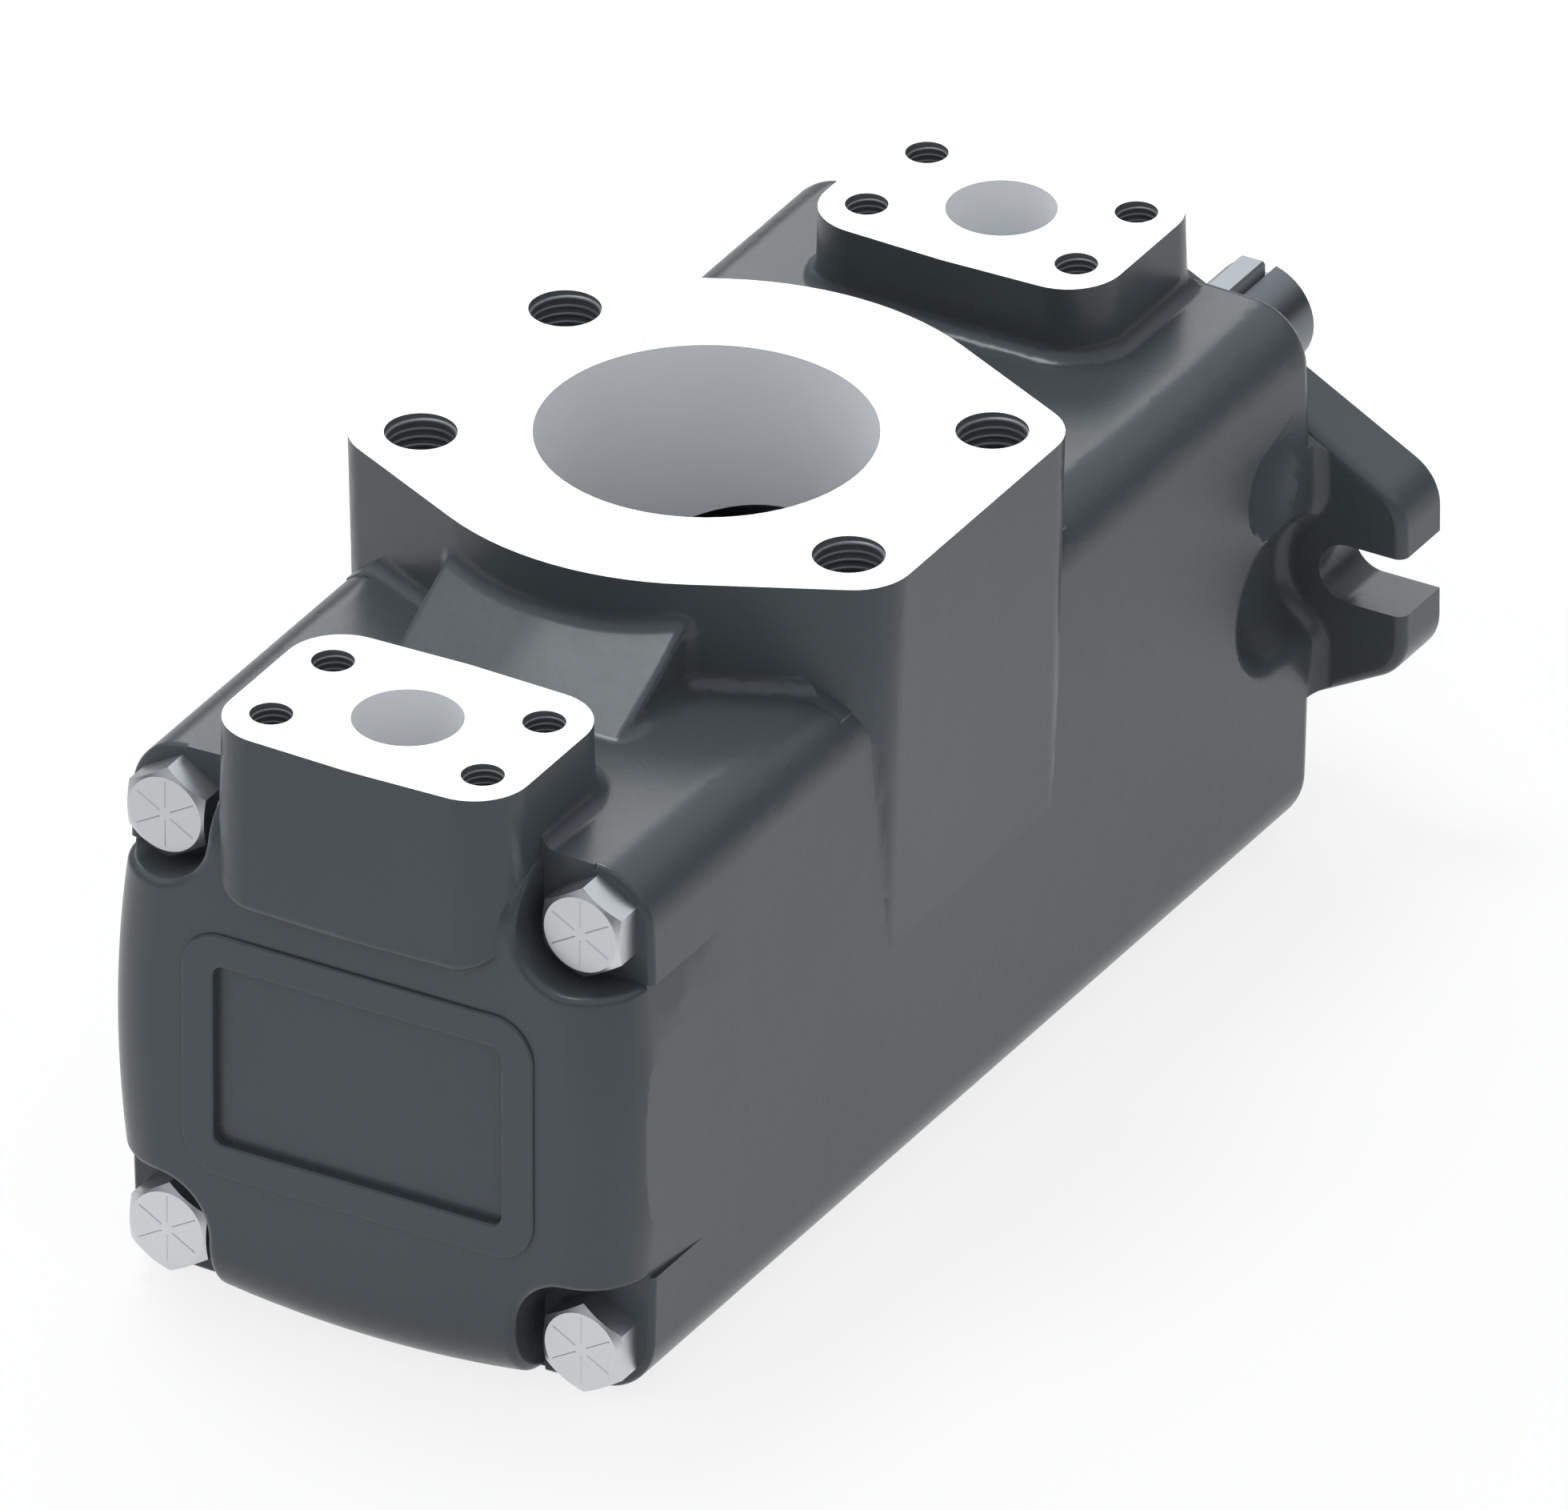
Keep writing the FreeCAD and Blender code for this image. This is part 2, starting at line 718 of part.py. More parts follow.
def housing_inside():
    """Everything that is bored or drilled out of the housing."""
    start = -value("pilot_length")
    bearing_radius = value("bearing_outer_diameter / 2")
    bearing_end = value("bearing_depth + bearing_width")
    chamber = value(chamber_start)
    cartridge = value("cartridge_depth")
    joint = value("housing_length")
    ring_depth = value("bearing_depth - retaining_ring_width")
    suction = value("suction_depth")
    top = value("suction_height")
    cuts = [
        round_bar(bearing_radius, start, bearing_end - start),
        round_bar(bearing_radius + value("retaining_ring_groove"), ring_depth, value("retaining_ring_width")),
        round_bar(value("hub_radius + hub_socket_clearance"), bearing_end, value("bearing_wall")),
        round_bar(value("chamber_radius"), chamber, cartridge - chamber),
        round_bar(value("main_bore_radius"), cartridge, joint - cartridge),
        drill(value("suction_bore / 2"), 0, suction, top, top),
        ring_groove(value("cap_seal_radius"), value("seal_ring_section"), joint - value("seal_ring_section")),
    ]
    for x, y in bolt_places(value("suction_bolt_across"), value("suction_bolt_along")):
        cuts.append(drill(value("suction_bolt_hole / 2"), x, suction + y, top,
                          value("suction_bolt_hole_length")))
    cuts += port_holes(value("front_port_depth"), value("port_height"))
    thread = value("cap_bolt_diameter / 2 + thread_clearance")
    length = value("cap_bolt_length - cap_seat_thickness + bolt_hole_spare")
    for x, z in bolt_places(value("cap_bolt_spacing"), value("cap_bolt_spacing")):
        cuts.append(round_bar(thread, joint - length, length, x, z))
    thread = value("screw_diameter / 2 + thread_clearance")
    length = value("screw_engagement + bolt_hole_spare / 2")
    dowel = value("dowel_engagement")
    dowel_radius = value("dowel_diameter / 2 + dowel_clearance")
    for side in (-1, 1):
        place = side * value("screw_radius")
        cuts.append(round_bar(thread, cartridge - length, length, place))
        cuts.append(round_bar(dowel_radius, cartridge - dowel, dowel, 0, place))
    return Part.makeCompound(cuts)


def pillow():
    """Four large round discs, drafted, whose common part crowns the cap's sides and rounds its rear edges."""
    crown = value("cap_crown_radius")
    offset = crown - value("body_half_width") - value("cap_crown_rise")
    joint = value("housing_length")
    length = value("cap_length")
    narrowing = math.tan(math.radians(value("cap_draft")))
    wide = crown + narrowing * value("cap_seat_thickness")
    narrow = wide - narrowing * length
    shape = None
    for x, z in ((-offset, 0), (offset, 0), (0, -offset), (0, offset)):
        disc = Part.makeCone(wide, narrow, length, Vector(x, -joint, z), Vector(0, -1, 0))
        disc = disc.makeFillet(value("cap_rear_radius"), edges_at_depth(disc, value(cap_end)))
        shape = disc if shape is None else shape.common(disc)
    return shape


def notches(depth):
    """The room of the four corner notches that the cap bolts' heads sit in, from a depth on."""
    inner = value("notch_inner_width")
    length = value("cap_length") * 2
    wide = value("body_half_width") * 2
    radius = value("notch_radius")
    cuts = []
    for x in (-1, 1):
        for z, level in ((1, value("notch_top_height")), (-1, value("notch_bottom_height"))):
            corners = [Vector(x * inner, z * level, 0), Vector(x * wide, z * level, 0),
                       Vector(x * wide, z * wide, 0), Vector(x * inner, z * wide, 0)]
            outline = rounded_outline(corners, [radius, 0, 0, 0])
            cuts.append(prism_along_depth(stand_wire(outline, depth), length))
    return Part.makeCompound(cuts)


def rounded_rectangle(width, height, radius):
    x, y = width / 2, height / 2
    corners = [Vector(-x, -y, 0), Vector(x, -y, 0), Vector(x, y, 0), Vector(-x, y, 0)]
    return rounded_outline(corners, [radius] * 4)


def shield_outline():
    """The rear pressure flange's boss seen from behind, with its rounded lower corners."""
    foot = value("port_foot_height")
    width = value("port_half_width + shield_margin") * 2
    tall = value("port_height") * 2 - foot
    outline = rounded_rectangle(width, tall, value("shield_corner_radius"))
    outline.translate(Vector(0, foot + tall / 2, 0))
    return outline


def cap_port_boss():
    """The rear pressure flange's boss, which stands proud of the rear face."""
    depth = value("rear_port_depth")
    reach = value("port_half_length") * 2
    boss = port_boss(depth, value("port_foot_height") - value("shield_corner_radius"))
    boss = boss.common(prism_along_depth(stand_wire(shield_outline(), depth - reach), reach * 2))
    rear = value(cap_end)
    lower = [edge for edge in boss.Edges
             if -middle(edge).y > rear and middle(edge).z < value("port_foot_height + shield_corner_radius")
             and middle(edge).z < value("port_height") - 1 and is_across(edge)]
    return boss.makeFillet(value("shield_edge_radius"), lower)


def is_across(edge):
    """Whether an edge runs across the shaft axis more than it runs up."""
    span = edge.BoundBox
    return span.XLength > span.ZLength / 4


def is_notch_rim(edge):
    """Whether an edge lies where a notch's wall meets the cap's outside."""
    point = middle(edge)
    x, z = abs(point.x), abs(point.z)
    level = value("notch_top_height" if point.z > 0 else "notch_bottom_height")
    if x < value("notch_inner_width") - 0.01 or z < level - 0.01 or -point.y < value("housing_length") + 1:
        return False
    outer = value("(notch_inner_width + notch_radius + body_half_width) / 2")
    runs_along = edge.BoundBox.XLength < 0.01 and edge.BoundBox.ZLength < 0.01
    return not runs_along or max(x, z) > outer


def cap_shell():
    """The cap's pillowed block with a seat for a bolt head in each corner."""
    joint = value("housing_length")
    seat = value(seat_depth)
    rear = value(cap_end)
    square = body_block(joint, rear - joint)
    corners = notches(joint)
    hard = square.common(pillow()).cut(corners)
    soft = hard.makeFillet(value("notch_edge_radius"), [edge for edge in hard.Edges if is_notch_rim(edge)])
    hard = hard.common(depth_box(joint, seat, joint, -joint, joint))
    soft = soft.common(depth_box(seat, rear, joint, -joint, joint))
    seats = body_block(joint, seat - joint)
    seats = seats.makeFillet(value("seat_edge_radius"), edges_at_depth(seats, seat)).common(corners)
    return hard.fuse([soft, seats])


def panel(shell):
    """Adds the raised, soft-edged frame on the rear face and sinks the field inside it."""
    rear = value(cap_end)
    border = value("panel_border")
    width, height = value("panel_width"), value("panel_height")
    radius = value("panel_corner_radius")
    rise = value("panel_raise")
    sink = value("panel_recess")
    outer = stand_wire(rounded_rectangle(width, height, radius), rear - rise)
    inner = rounded_rectangle(width - 2 * border, height - 2 * border, radius / 4)
    window = prism_along_depth(stand_wire(inner, rear - rise), 2 * rise)
    frame = prism_along_depth(outer, 2 * rise).cut(window)
    frame = frame.makeFillet(value("panel_edge_radius"), edges_at_depth(frame, rear + rise))
    return shell.cut(prism_along_depth(stand_wire(inner, rear - sink), 2 * sink)).fuse(frame)


def cap_outside():
    joint = value("housing_length")
    foot_zone = depth_box(joint, value(seat_depth), value("body_half_width - body_corner_radius - 1"),
                          value("port_foot_height"), value("port_height"))
    plain_boss = port_boss(value("rear_port_depth"), value("port_foot_height"))
    foot = with_foot(plain_boss, 0, 2 * joint).common(foot_zone)
    boss = cap_port_boss().common(depth_box(joint, 2 * joint, joint, -joint, joint))
    return panel(cap_shell().fuse([boss, foot])).removeSplitter()


def cap_inside():
    joint = value("housing_length")
    cuts = [round_bar(value("chamber_radius"), joint, value(rear_chamber_end) - joint)]
    cuts += port_holes(value("rear_port_depth"), value("port_height"))
    for x, z in bolt_places(value("cap_bolt_spacing"), value("cap_bolt_spacing")):
        cuts.append(round_bar(value("cap_bolt_hole / 2"), joint, value("cap_seat_thickness"), x, z))
    thread = value("screw_diameter / 2 + thread_clearance")
    length = value("screw_engagement + bolt_hole_spare / 2")
    dowel = value("dowel_engagement")
    for side in (-1, 1):
        place = side * value("screw_radius")
        cuts.append(round_bar(thread, joint, length, place))
        cuts.append(round_bar(value("dowel_diameter / 2 + dowel_clearance"), joint, dowel, 0, place))
    return Part.makeCompound(cuts)


def casting(label, outside, inside):
    piece = doc.addObject("Part::Feature", label + "_casting")
    piece.Shape = outside.cut(inside)
    piece.Placement = Placement()
    return named(piece, label)


# Cap bolts


def cap_bolt(x, z):
    """A hexagon bolt with a chamfered head, its flats facing the cap's sides."""
    number = len(doc.Objects)
    head = doc.addObject("Part::Prism", f"cap_bolt_head_{number}")
    head.Polygon = 6
    head.Placement = Placement(Vector(0, 0, 0), along_depth.multiply(Rotation(Vector(0, 0, 1), 30)))
    bind(head, Circumradius="cap_bolt_head_width / sqrt(3)", Height="cap_bolt_head_height",
         Placement__Base__x=x, Placement__Base__z=z, Placement__Base__y=f"0 - {seat_depth}")
    crown = doc.addObject("Part::Cone", f"cap_bolt_crown_{number}")
    crown.Placement = Placement(Vector(0, 0, 0), along_depth)
    face = "cap_bolt_face_diameter / 2"
    bind(crown, Radius1=f"{face} + cap_bolt_head_height / tan(cap_bolt_chamfer_angle)", Radius2=face,
         Height="cap_bolt_head_height", Placement__Base__x=x, Placement__Base__z=z,
         Placement__Base__y=f"0 - {seat_depth}")
    chamfered = doc.addObject("Part::Common", f"cap_bolt_chamfered_{number}")
    chamfered.Base = head
    chamfered.Tool = crown
    shank = cylinder(f"cap_bolt_shank_{number}", "cap_bolt_diameter / 2",
                     f"{seat_depth} - cap_bolt_length", "cap_bolt_length", x=x, z=z)
    bolt = doc.addObject("Part::Fuse", f"cap_bolt_{number}")
    bolt.Base = chamfered
    bolt.Tool = shank
    return bolt


def cap_bolts():
    half = "cap_bolt_spacing / 2"
    bolts = [cap_bolt(x, z) for x in (half, "0 - " + half) for z in (half, "0 - " + half)]
    return named(group("cap_bolts_group", bolts), "cap_bolts")


# Shaft, key, bearing and seal

spline_depth = "(cartridge_depth + port_plate_thickness)"
rear_spline_end = "(housing_length - port_plate_thickness)"
journal_end = "(housing_length + journal_end_inset)"


def half_spline_gap(major, tooth_width):
    """Half the gap between two teeth of a straight-sided spline, half way up the teeth."""
    return f"((pi * ({major} - spline_tooth_height) / spline_teeth - {tooth_width}) / 2)"


def shaft_grooves(body, name, major, tooth_width, depth, length):
    """The gaps between the teeth of a straight-sided spline."""
    half = half_spline_gap(major, tooth_width)
    sketch = start_sketch(body, "XZ_Plane", name, depth)
    draw_box(sketch, f"0 - {half}", f"{major} / 2 - spline_tooth_height", half, f"{major} / 2 + 1")
    groove = extrude(body, "Pocket", sketch, length, reverse=True)
    polar_copies(body, groove, sketch, "spline_teeth")


def drive_shaft():
    radius = "shaft_diameter / 2"
    seat = "bearing_bore / 2"
    ring = "(bearing_depth - shaft_ring_width)"
    shoulder = "(bearing_depth + bearing_width)"
    middle = "shaft_middle_diameter / 2"
    spline = "spline_major_diameter / 2"
    rear = "shaft_rear_diameter / 2"
    rear_spline = "rear_spline_major_diameter / 2"
    rear_start = "(housing_length - port_plate_thickness - cam_width - spline_runout)"
    journal = "shaft_journal_diameter / 2"
    body = turned_body("drive_shaft", [
        ("0", "(0 - shaft_reach)"),
        (f"{radius} - shaft_chamfer", "(0 - shaft_reach)"),
        (radius, "(shaft_chamfer - shaft_reach)"),
        (radius, front),
        (seat, f"({front} + (bearing_bore - shaft_diameter) / 2)"),
        (seat, ring),
        (f"{seat} - shaft_ring_groove", ring),
        (f"{seat} - shaft_ring_groove", "bearing_depth"),
        (seat, "bearing_depth"),
        (seat, shoulder),
        ("shaft_shoulder_diameter / 2", shoulder),
        ("shaft_shoulder_diameter / 2", f"({shoulder} + shaft_shoulder_length)"),
        (middle, f"({shoulder} + shaft_shoulder_length)"),
        (middle, f"({spline_depth} - spline_runout)"),
        (spline, f"({spline_depth} - spline_runout)"),
        (spline, f"({spline_depth} + cam_width + spline_runout)"),
        (rear, f"({spline_depth} + cam_width + spline_runout)"),
        (rear, rear_start),
        (rear_spline, rear_start),
        (rear_spline, f"({rear_spline_end} + spline_runout)"),
        (journal, f"({rear_spline_end} + spline_runout)"),
        (journal, f"({journal_end} - shaft_chamfer)"),
        (f"{journal} - shaft_chamfer", journal_end),
        ("0", journal_end),
    ])
    shaft_grooves(body, "spline", "spline_major_diameter", "spline_tooth_width",
                  f"{spline_depth} - spline_runout", "cam_width + 2 * spline_runout")
    shaft_grooves(body, "rear_spline", "rear_spline_major_diameter", "rear_spline_tooth_width",
                  rear_start, "cam_width + 2 * spline_runout")
    keyway = start_sketch(body, "XZ_Plane", "keyway", "0 - shaft_reach")
    half = "key_width / 2"
    floor = f"{radius} + key_proud - key_width"
    draw_box(keyway, f"0 - {half}", floor, half, f"{radius} + 1")
    body.Tip = extrude(body, "Pocket", keyway, "key_length + key_inset", reverse=True)
    return body


def shaft_key():
    """The square key, with its outer edges chamfered."""
    body = start_body("shaft_key")
    top = "shaft_diameter / 2 + key_proud"
    half = "key_width / 2"
    sketch = start_sketch(body, "XZ_Plane", "section", "key_inset - shaft_reach")
    draw_polygon(sketch, [
        (f"0 - {half}", f"{top} - key_width"),
        (half, f"{top} - key_width"),
        (half, f"{top} - key_chamfer"),
        (f"{half} - key_chamfer", top),
        (f"key_chamfer - {half}", top),
        (f"0 - {half}", f"{top} - key_chamfer"),
    ])
    extrude(body, "Pad", sketch, "key_length")
    return body


def bearing_ring(label, outer, inner):
    """A tube with a ball groove round it."""
    tube = cut(label + "_tube", cylinder(label + "_outside", outer, "bearing_depth", "bearing_width"),
               cylinder(label + "_inside", inner, "bearing_depth", "bearing_width"))
    groove = torus(label + "_groove", bearing_pitch_radius, "ball_diameter / 2 + race_clearance",
                   "bearing_depth + bearing_width / 2")
    return named(cut(label + "_cut", tube, groove), label)


def ball_set(name, radius):
    balls = []
    middle = "bearing_depth + bearing_width / 2"
    for i in range(int(value("ball_count"))):
        ball = doc.addObject("Part::Sphere", f"{name}_{i + 1}")
        angle = f"({i} * 360 / ball_count)"
        bind(ball, Radius=radius, Placement__Base__y=f"0 - ({middle})",
             Placement__Base__x=f"{bearing_pitch_radius} * cos({angle})",
             Placement__Base__z=f"{bearing_pitch_radius} * sin({angle})")
        balls.append(ball)
    return balls


def bearing_cage():
    """A ring with a round pocket through its wall for each ball."""
    body = start_body("bearing_cage")
    start = "bearing_depth + (bearing_width - cage_width) / 2"
    ring = start_sketch(body, "XZ_Plane", "ring", start)
    draw_circle(ring, f"{bearing_pitch_radius} + cage_wall / 2")
    draw_circle(ring, f"{bearing_pitch_radius} - cage_wall / 2")
    extrude(body, "Pad", ring, "cage_width")
    pocket = start_sketch(body, "YZ_Plane", "pocket", f"{bearing_pitch_radius} - cage_wall")
    draw_circle(pocket, "ball_diameter / 2 + race_clearance", "0 - (bearing_depth + bearing_width / 2)")
    hole = extrude(body, "Pocket", pocket, "2 * cage_wall", reverse=True)
    polar_copies(body, hole, ring, "ball_count")
    return body


def open_ring(label, outer, inner, depth, width):
    """A retaining ring: a flat ring with a gap at the top."""
    gap = "shaft_ring_gap_angle"
    turn = 90 + value(gap) / 2
    whole = cylinder(label + "_outside", outer, depth, width, angle=f"360 - {gap}", turn=turn)
    hole = cylinder(label + "_inside", inner, depth, width)
    return named(cut(label + "_cut", whole, hole), label)


def shaft_seal():
    outer = "bearing_outer_diameter / 2"
    start = f"({front} + seal_recess)"
    end = f"({start} + seal_width)"
    case = turned_body("seal_case", [
        (outer, start), (outer, end), (f"{outer} - seal_shell", end),
        (f"{outer} - seal_shell", f"({start} + seal_shell)"),
        (f"{outer} - seal_width", f"({start} + seal_shell)"), (f"{outer} - seal_width", start),
    ])
    lip_radius = "bearing_bore / 2 + seal_lip_clearance"
    lip = turned_body("seal_lip", [
        (f"{outer} - seal_width", f"({start} + seal_shell)"),
        (f"{outer} - seal_width + seal_shell", f"({start} + seal_shell)"),
        (f"{outer} - seal_width + seal_shell", f"({start} + 2 * seal_shell)"),
        (f"{lip_radius} + 2 * seal_shell", f"({start} + 2.5 * seal_shell)"),
        (f"{lip_radius} + 1.5 * seal_shell", f"({end} - 2 * seal_shell)"),
        (f"{lip_radius} + 0.8 * seal_shell", f"({end} - 1.6 * seal_shell)"),
        (f"{lip_radius} + 1.5 * seal_shell", f"({end} - 1.2 * seal_shell)"),
        (f"{lip_radius} + 1.5 * seal_shell", f"({end} - 0.6 * seal_shell)"),
        (f"{lip_radius} + 0.3 * seal_shell", f"({end} - 0.6 * seal_shell)"),
        (lip_radius, f"({end} - 1.6 * seal_shell)"),
        (f"{lip_radius} + 0.5 * seal_shell", f"({start} + 2 * seal_shell)"),
        (f"{lip_radius} + 2 * seal_shell", f"({start} + seal_shell)"),
    ])
    spring = named(torus("seal_spring_ring", f"{lip_radius} + 1.9 * seal_shell", "0.35 * seal_shell",
                         f"{end} - 1.6 * seal_shell"), "seal_spring")
    return [case, lip, spring]


# Cartridges


class Cartridge:
    """One pumping cartridge: its port plate's outer face is at a depth, and it stacks one way from there."""

    def __init__(self, name, face, way):
        self.name = name
        self.face = face
        self.way = way

    def depth(self, inset):
        return f"({self.face} + {self.way} * ({inset}))"

    def start(self, near, far):
        return self.depth(near if self.way > 0 else far)

    def bar(self, name, radius, near, far, **place):
        """A cylinder between two insets from the port plate's outer face."""
        full = f"{self.name}_{name}"
        return cylinder(full, radius, self.start(near, far), f"({far}) - ({near})", **place)

    def sector(self, name, outer, inner, near, far, turn):
        whole = self.bar(name + "_outer", outer, near, far, angle="port_angle", turn=turn)
        core = self.bar(name + "_inner", inner, near, far)
        return cut(f"{self.name}_{name}", whole, core)

    def through_holes(self, name, near, far):
        """Two screw holes on the X axis and two dowel holes on the Z axis."""
        holes = []
        for side in (-1, 1):
            place = f"{side} * screw_radius"
            tag = "right" if side > 0 else "left"
            holes.append(self.bar(f"{name}_screw_hole_{tag}", "screw_hole / 2", near, far, x=place))
            holes.append(self.bar(f"{name}_dowel_hole_{tag}", "dowel_diameter / 2 + dowel_clearance",
                                  near, far, z=place))
        return holes


cam_inset = "port_plate_thickness"
side_inset = "(port_plate_thickness + cam_width)"
back_inset = "(port_plate_thickness + cam_width + side_plate_thickness)"


def half_gap():
    """The angle from the cam ring's small axis to where its rise begins."""
    return value("cam_dwell_angle") / 2


def cam_radius(angle):
    """The cam ring's inner radius: two dwells joined by cycloidal rises, twice round."""
    small, large = value("cam_small_radius"), value("cam_large_radius")
    dwell = half_gap()
    rise = 90 - 2 * dwell
    folded = angle % 180
    folded = min(folded, 180 - folded)
    share = min(max((folded - dwell) / rise, 0), 1)
    return small + (large - small) * (share - math.sin(2 * math.pi * share) / (2 * math.pi))


def port_plate(cartridge, profile):
    name = cartridge.name
    plate = turned_body(name + "_plate_blank", profile)
    dwell = half_gap()
    seal = "seal_ring_section"
    tools = cartridge.through_holes("plate", "0", cam_inset)
    groove = cartridge.bar("groove_outer", f"plate_seal_radius + {seal} / 2", "0", seal)
    core = cartridge.bar("groove_inner", f"plate_seal_radius - {seal} / 2", "0", seal)
    tools.append(cut(name + "_groove", groove, core))
    window = f"{cam_inset} - window_height"
    for i in range(2):
        kidney_turn = 90 + dwell + 180 * i
        window_turn = dwell + 180 * i
        tools.append(cartridge.sector(f"kidney_{i}", "kidney_outer_radius", "kidney_inner_radius",
                                      "0", cam_inset, kidney_turn))
        tools.append(cartridge.sector(f"window_{i}", "main_bore_radius + 1", "kidney_inner_radius",
                                      window, cam_inset, window_turn))
    return plate, tools


def front_port_plate(cartridge):
    radius = "(main_bore_radius - plate_clearance)"
    hub_end = "(bearing_depth + bearing_width + hub_end_gap - cartridge_depth)"
    plate, tools = port_plate(cartridge, [
        ("hub_bore_radius", cartridge.depth(hub_end)),
        ("hub_radius", cartridge.depth(hub_end)),
        ("hub_radius", cartridge.depth("0")),
        (radius, cartridge.depth("0")),
        (radius, cartridge.depth(cam_inset)),
        ("hub_bore_radius", cartridge.depth(cam_inset)),
    ])
    return named(cut("front_port_plate_cut", plate, *tools, hub_groove(cartridge)), "front_port_plate")


def hub_groove(cartridge):
    """The groove of the hub's seal ring, inside the socket in the bearing wall."""
    start = f"{hub_seal_depth()} - hub_seal_section / 2"
    outer = cylinder("hub_groove_outer", "hub_radius + 1", start, "hub_seal_section")
    core = cylinder("hub_groove_core", "hub_radius - hub_seal_section", start, "hub_seal_section")
    return cut("hub_groove", outer, core)


def hub_seal_depth():
    return "(bearing_depth + bearing_width + hub_seal_inset)"


def rear_port_plate(cartridge):
    radius = "(main_bore_radius - plate_clearance)"
    bush_end = "(bush_seat_inset - bush_length)"
    plate, tools = port_plate(cartridge, [
        ("rear_bore_radius", cartridge.depth(cam_inset)),
        (radius, cartridge.depth(cam_inset)),
        (radius, cartridge.depth("0")),
        ("rear_hub_radius", cartridge.depth("0")),
        ("rear_hub_radius", cartridge.depth("0 - rear_hub_length")),
        ("0", cartridge.depth("0 - rear_hub_length")),
        ("0", cartridge.depth("0 - journal_pocket_inset")),
        ("journal_pocket_radius", cartridge.depth("0 - journal_pocket_inset")),
        ("journal_pocket_radius", cartridge.depth(bush_end)),
        ("bush_outer_radius", cartridge.depth(bush_end)),
        ("bush_outer_radius", cartridge.depth("bush_seat_inset")),
        ("rear_bore_radius", cartridge.depth("bush_seat_inset")),
    ])
    return named(cut("rear_port_plate_cut", plate, *tools), "rear_port_plate")


def rear_bush(cartridge):
    inner = "shaft_journal_diameter / 2 + bush_clearance"
    end = "(bush_seat_inset - bush_length)"
    return turned_body("rear_bush", [
        (inner, cartridge.depth(end)), ("bush_outer_radius", cartridge.depth(end)),
        ("bush_outer_radius", cartridge.depth("bush_seat_inset")),
        (inner, cartridge.depth("bush_seat_inset")),
    ])


def cam_ring(cartridge):
    """The ring that the vanes run in. Its contour follows the cam law."""
    steps = 36
    points = []
    for i in range(steps):
        angle = math.radians(360 * i / steps)
        radius = cam_radius(360 * i / steps)
        points.append(Vector(radius * math.cos(angle), radius * math.sin(angle), 0))
    curve = Part.BSplineCurve()
    curve.interpolate(Points=points, PeriodicFlag=True)
    contour = Part.Wire(curve.toShape())
    start = value(cartridge.start(cam_inset, side_inset))
    width = value("cam_width")
    ring = round_bar(value("cam_outer_radius"), start, width)
    ring = ring.cut(prism_along_depth(stand_wire(contour, start), width))
    for side in (-1, 1):
        place = side * value("screw_radius")
        ring = ring.cut(round_bar(value("screw_hole / 2"), start, width, place))
        ring = ring.cut(round_bar(value("dowel_diameter / 2 + dowel_clearance"), start, width, 0, place))
    piece = doc.addObject("Part::Feature", cartridge.name + "_cam_ring_solid")
    piece.Shape = ring
    piece.Placement = Placement()
    return named(piece, cartridge.name + "_cam_ring")


rotor_start_inset = f"({cam_inset} + rotor_side_clearance)"
rotor_end_inset = f"({side_inset} - rotor_side_clearance)"
rotor_width = "(cam_width - 2 * rotor_side_clearance)"
vane_foot = "(rotor_radius - vane_tip_inset - vane_height)"


def rotor(cartridge, major, tooth_width):
    """The slotted rotor: a slot and a pin hole for each vane, and a splined bore."""
    body = start_body(cartridge.name + "_rotor")
    start = cartridge.start(rotor_start_inset, rotor_end_inset)
    bore = f"{major} / 2 + spline_clearance"
    blank = start_sketch(body, "XZ_Plane", "blank", start)
    draw_circle(blank, "rotor_radius")
    draw_circle(blank, bore)
    extrude(body, "Pad", blank, rotor_width)
    tooth = start_sketch(body, "XZ_Plane", "tooth", start, turn=90 - value("vane_phase_angle"))
    half = f"({half_spline_gap(major, tooth_width)} - spline_clearance)"
    tip = f"{major} / 2 - spline_tooth_height + spline_clearance"
    draw_box(tooth, f"0 - {half}", tip, half, f"{bore} + 0.5")
    polar_copies(body, extrude(body, "Pad", tooth, rotor_width), tooth, "spline_teeth")
    slot = start_sketch(body, "XZ_Plane", "slot", start)
    half = "vane_thickness / 2 + vane_slot_clearance"
    draw_box(slot, f"0 - ({half})", f"{vane_foot} - pin_clearance", half, "rotor_radius + 1")
    polar_copies(body, extrude(body, "Pocket", slot, rotor_width, reverse=True), slot, "vane_count")
    pin = start_sketch(body, "XY_Plane", "pin_hole", f"{vane_foot} - pin_length - pin_tail_clearance")
    draw_circle(pin, "pin_diameter / 2 + pin_clearance", "0", f"0 - ({start} + {rotor_width} / 2)")
    stroke = "(cam_large_radius - rotor_radius + vane_tip_inset)"
    hole = extrude(body, "Pocket", pin, f"pin_length + 2 * pin_tail_clearance + {stroke}", reverse=True)
    polar_copies(body, hole, slot, "vane_count")
    body.Placement = Placement(Vector(0, 0, 0), Rotation(Vector(0, 1, 0), 90 - value("vane_phase_angle")))
    return body


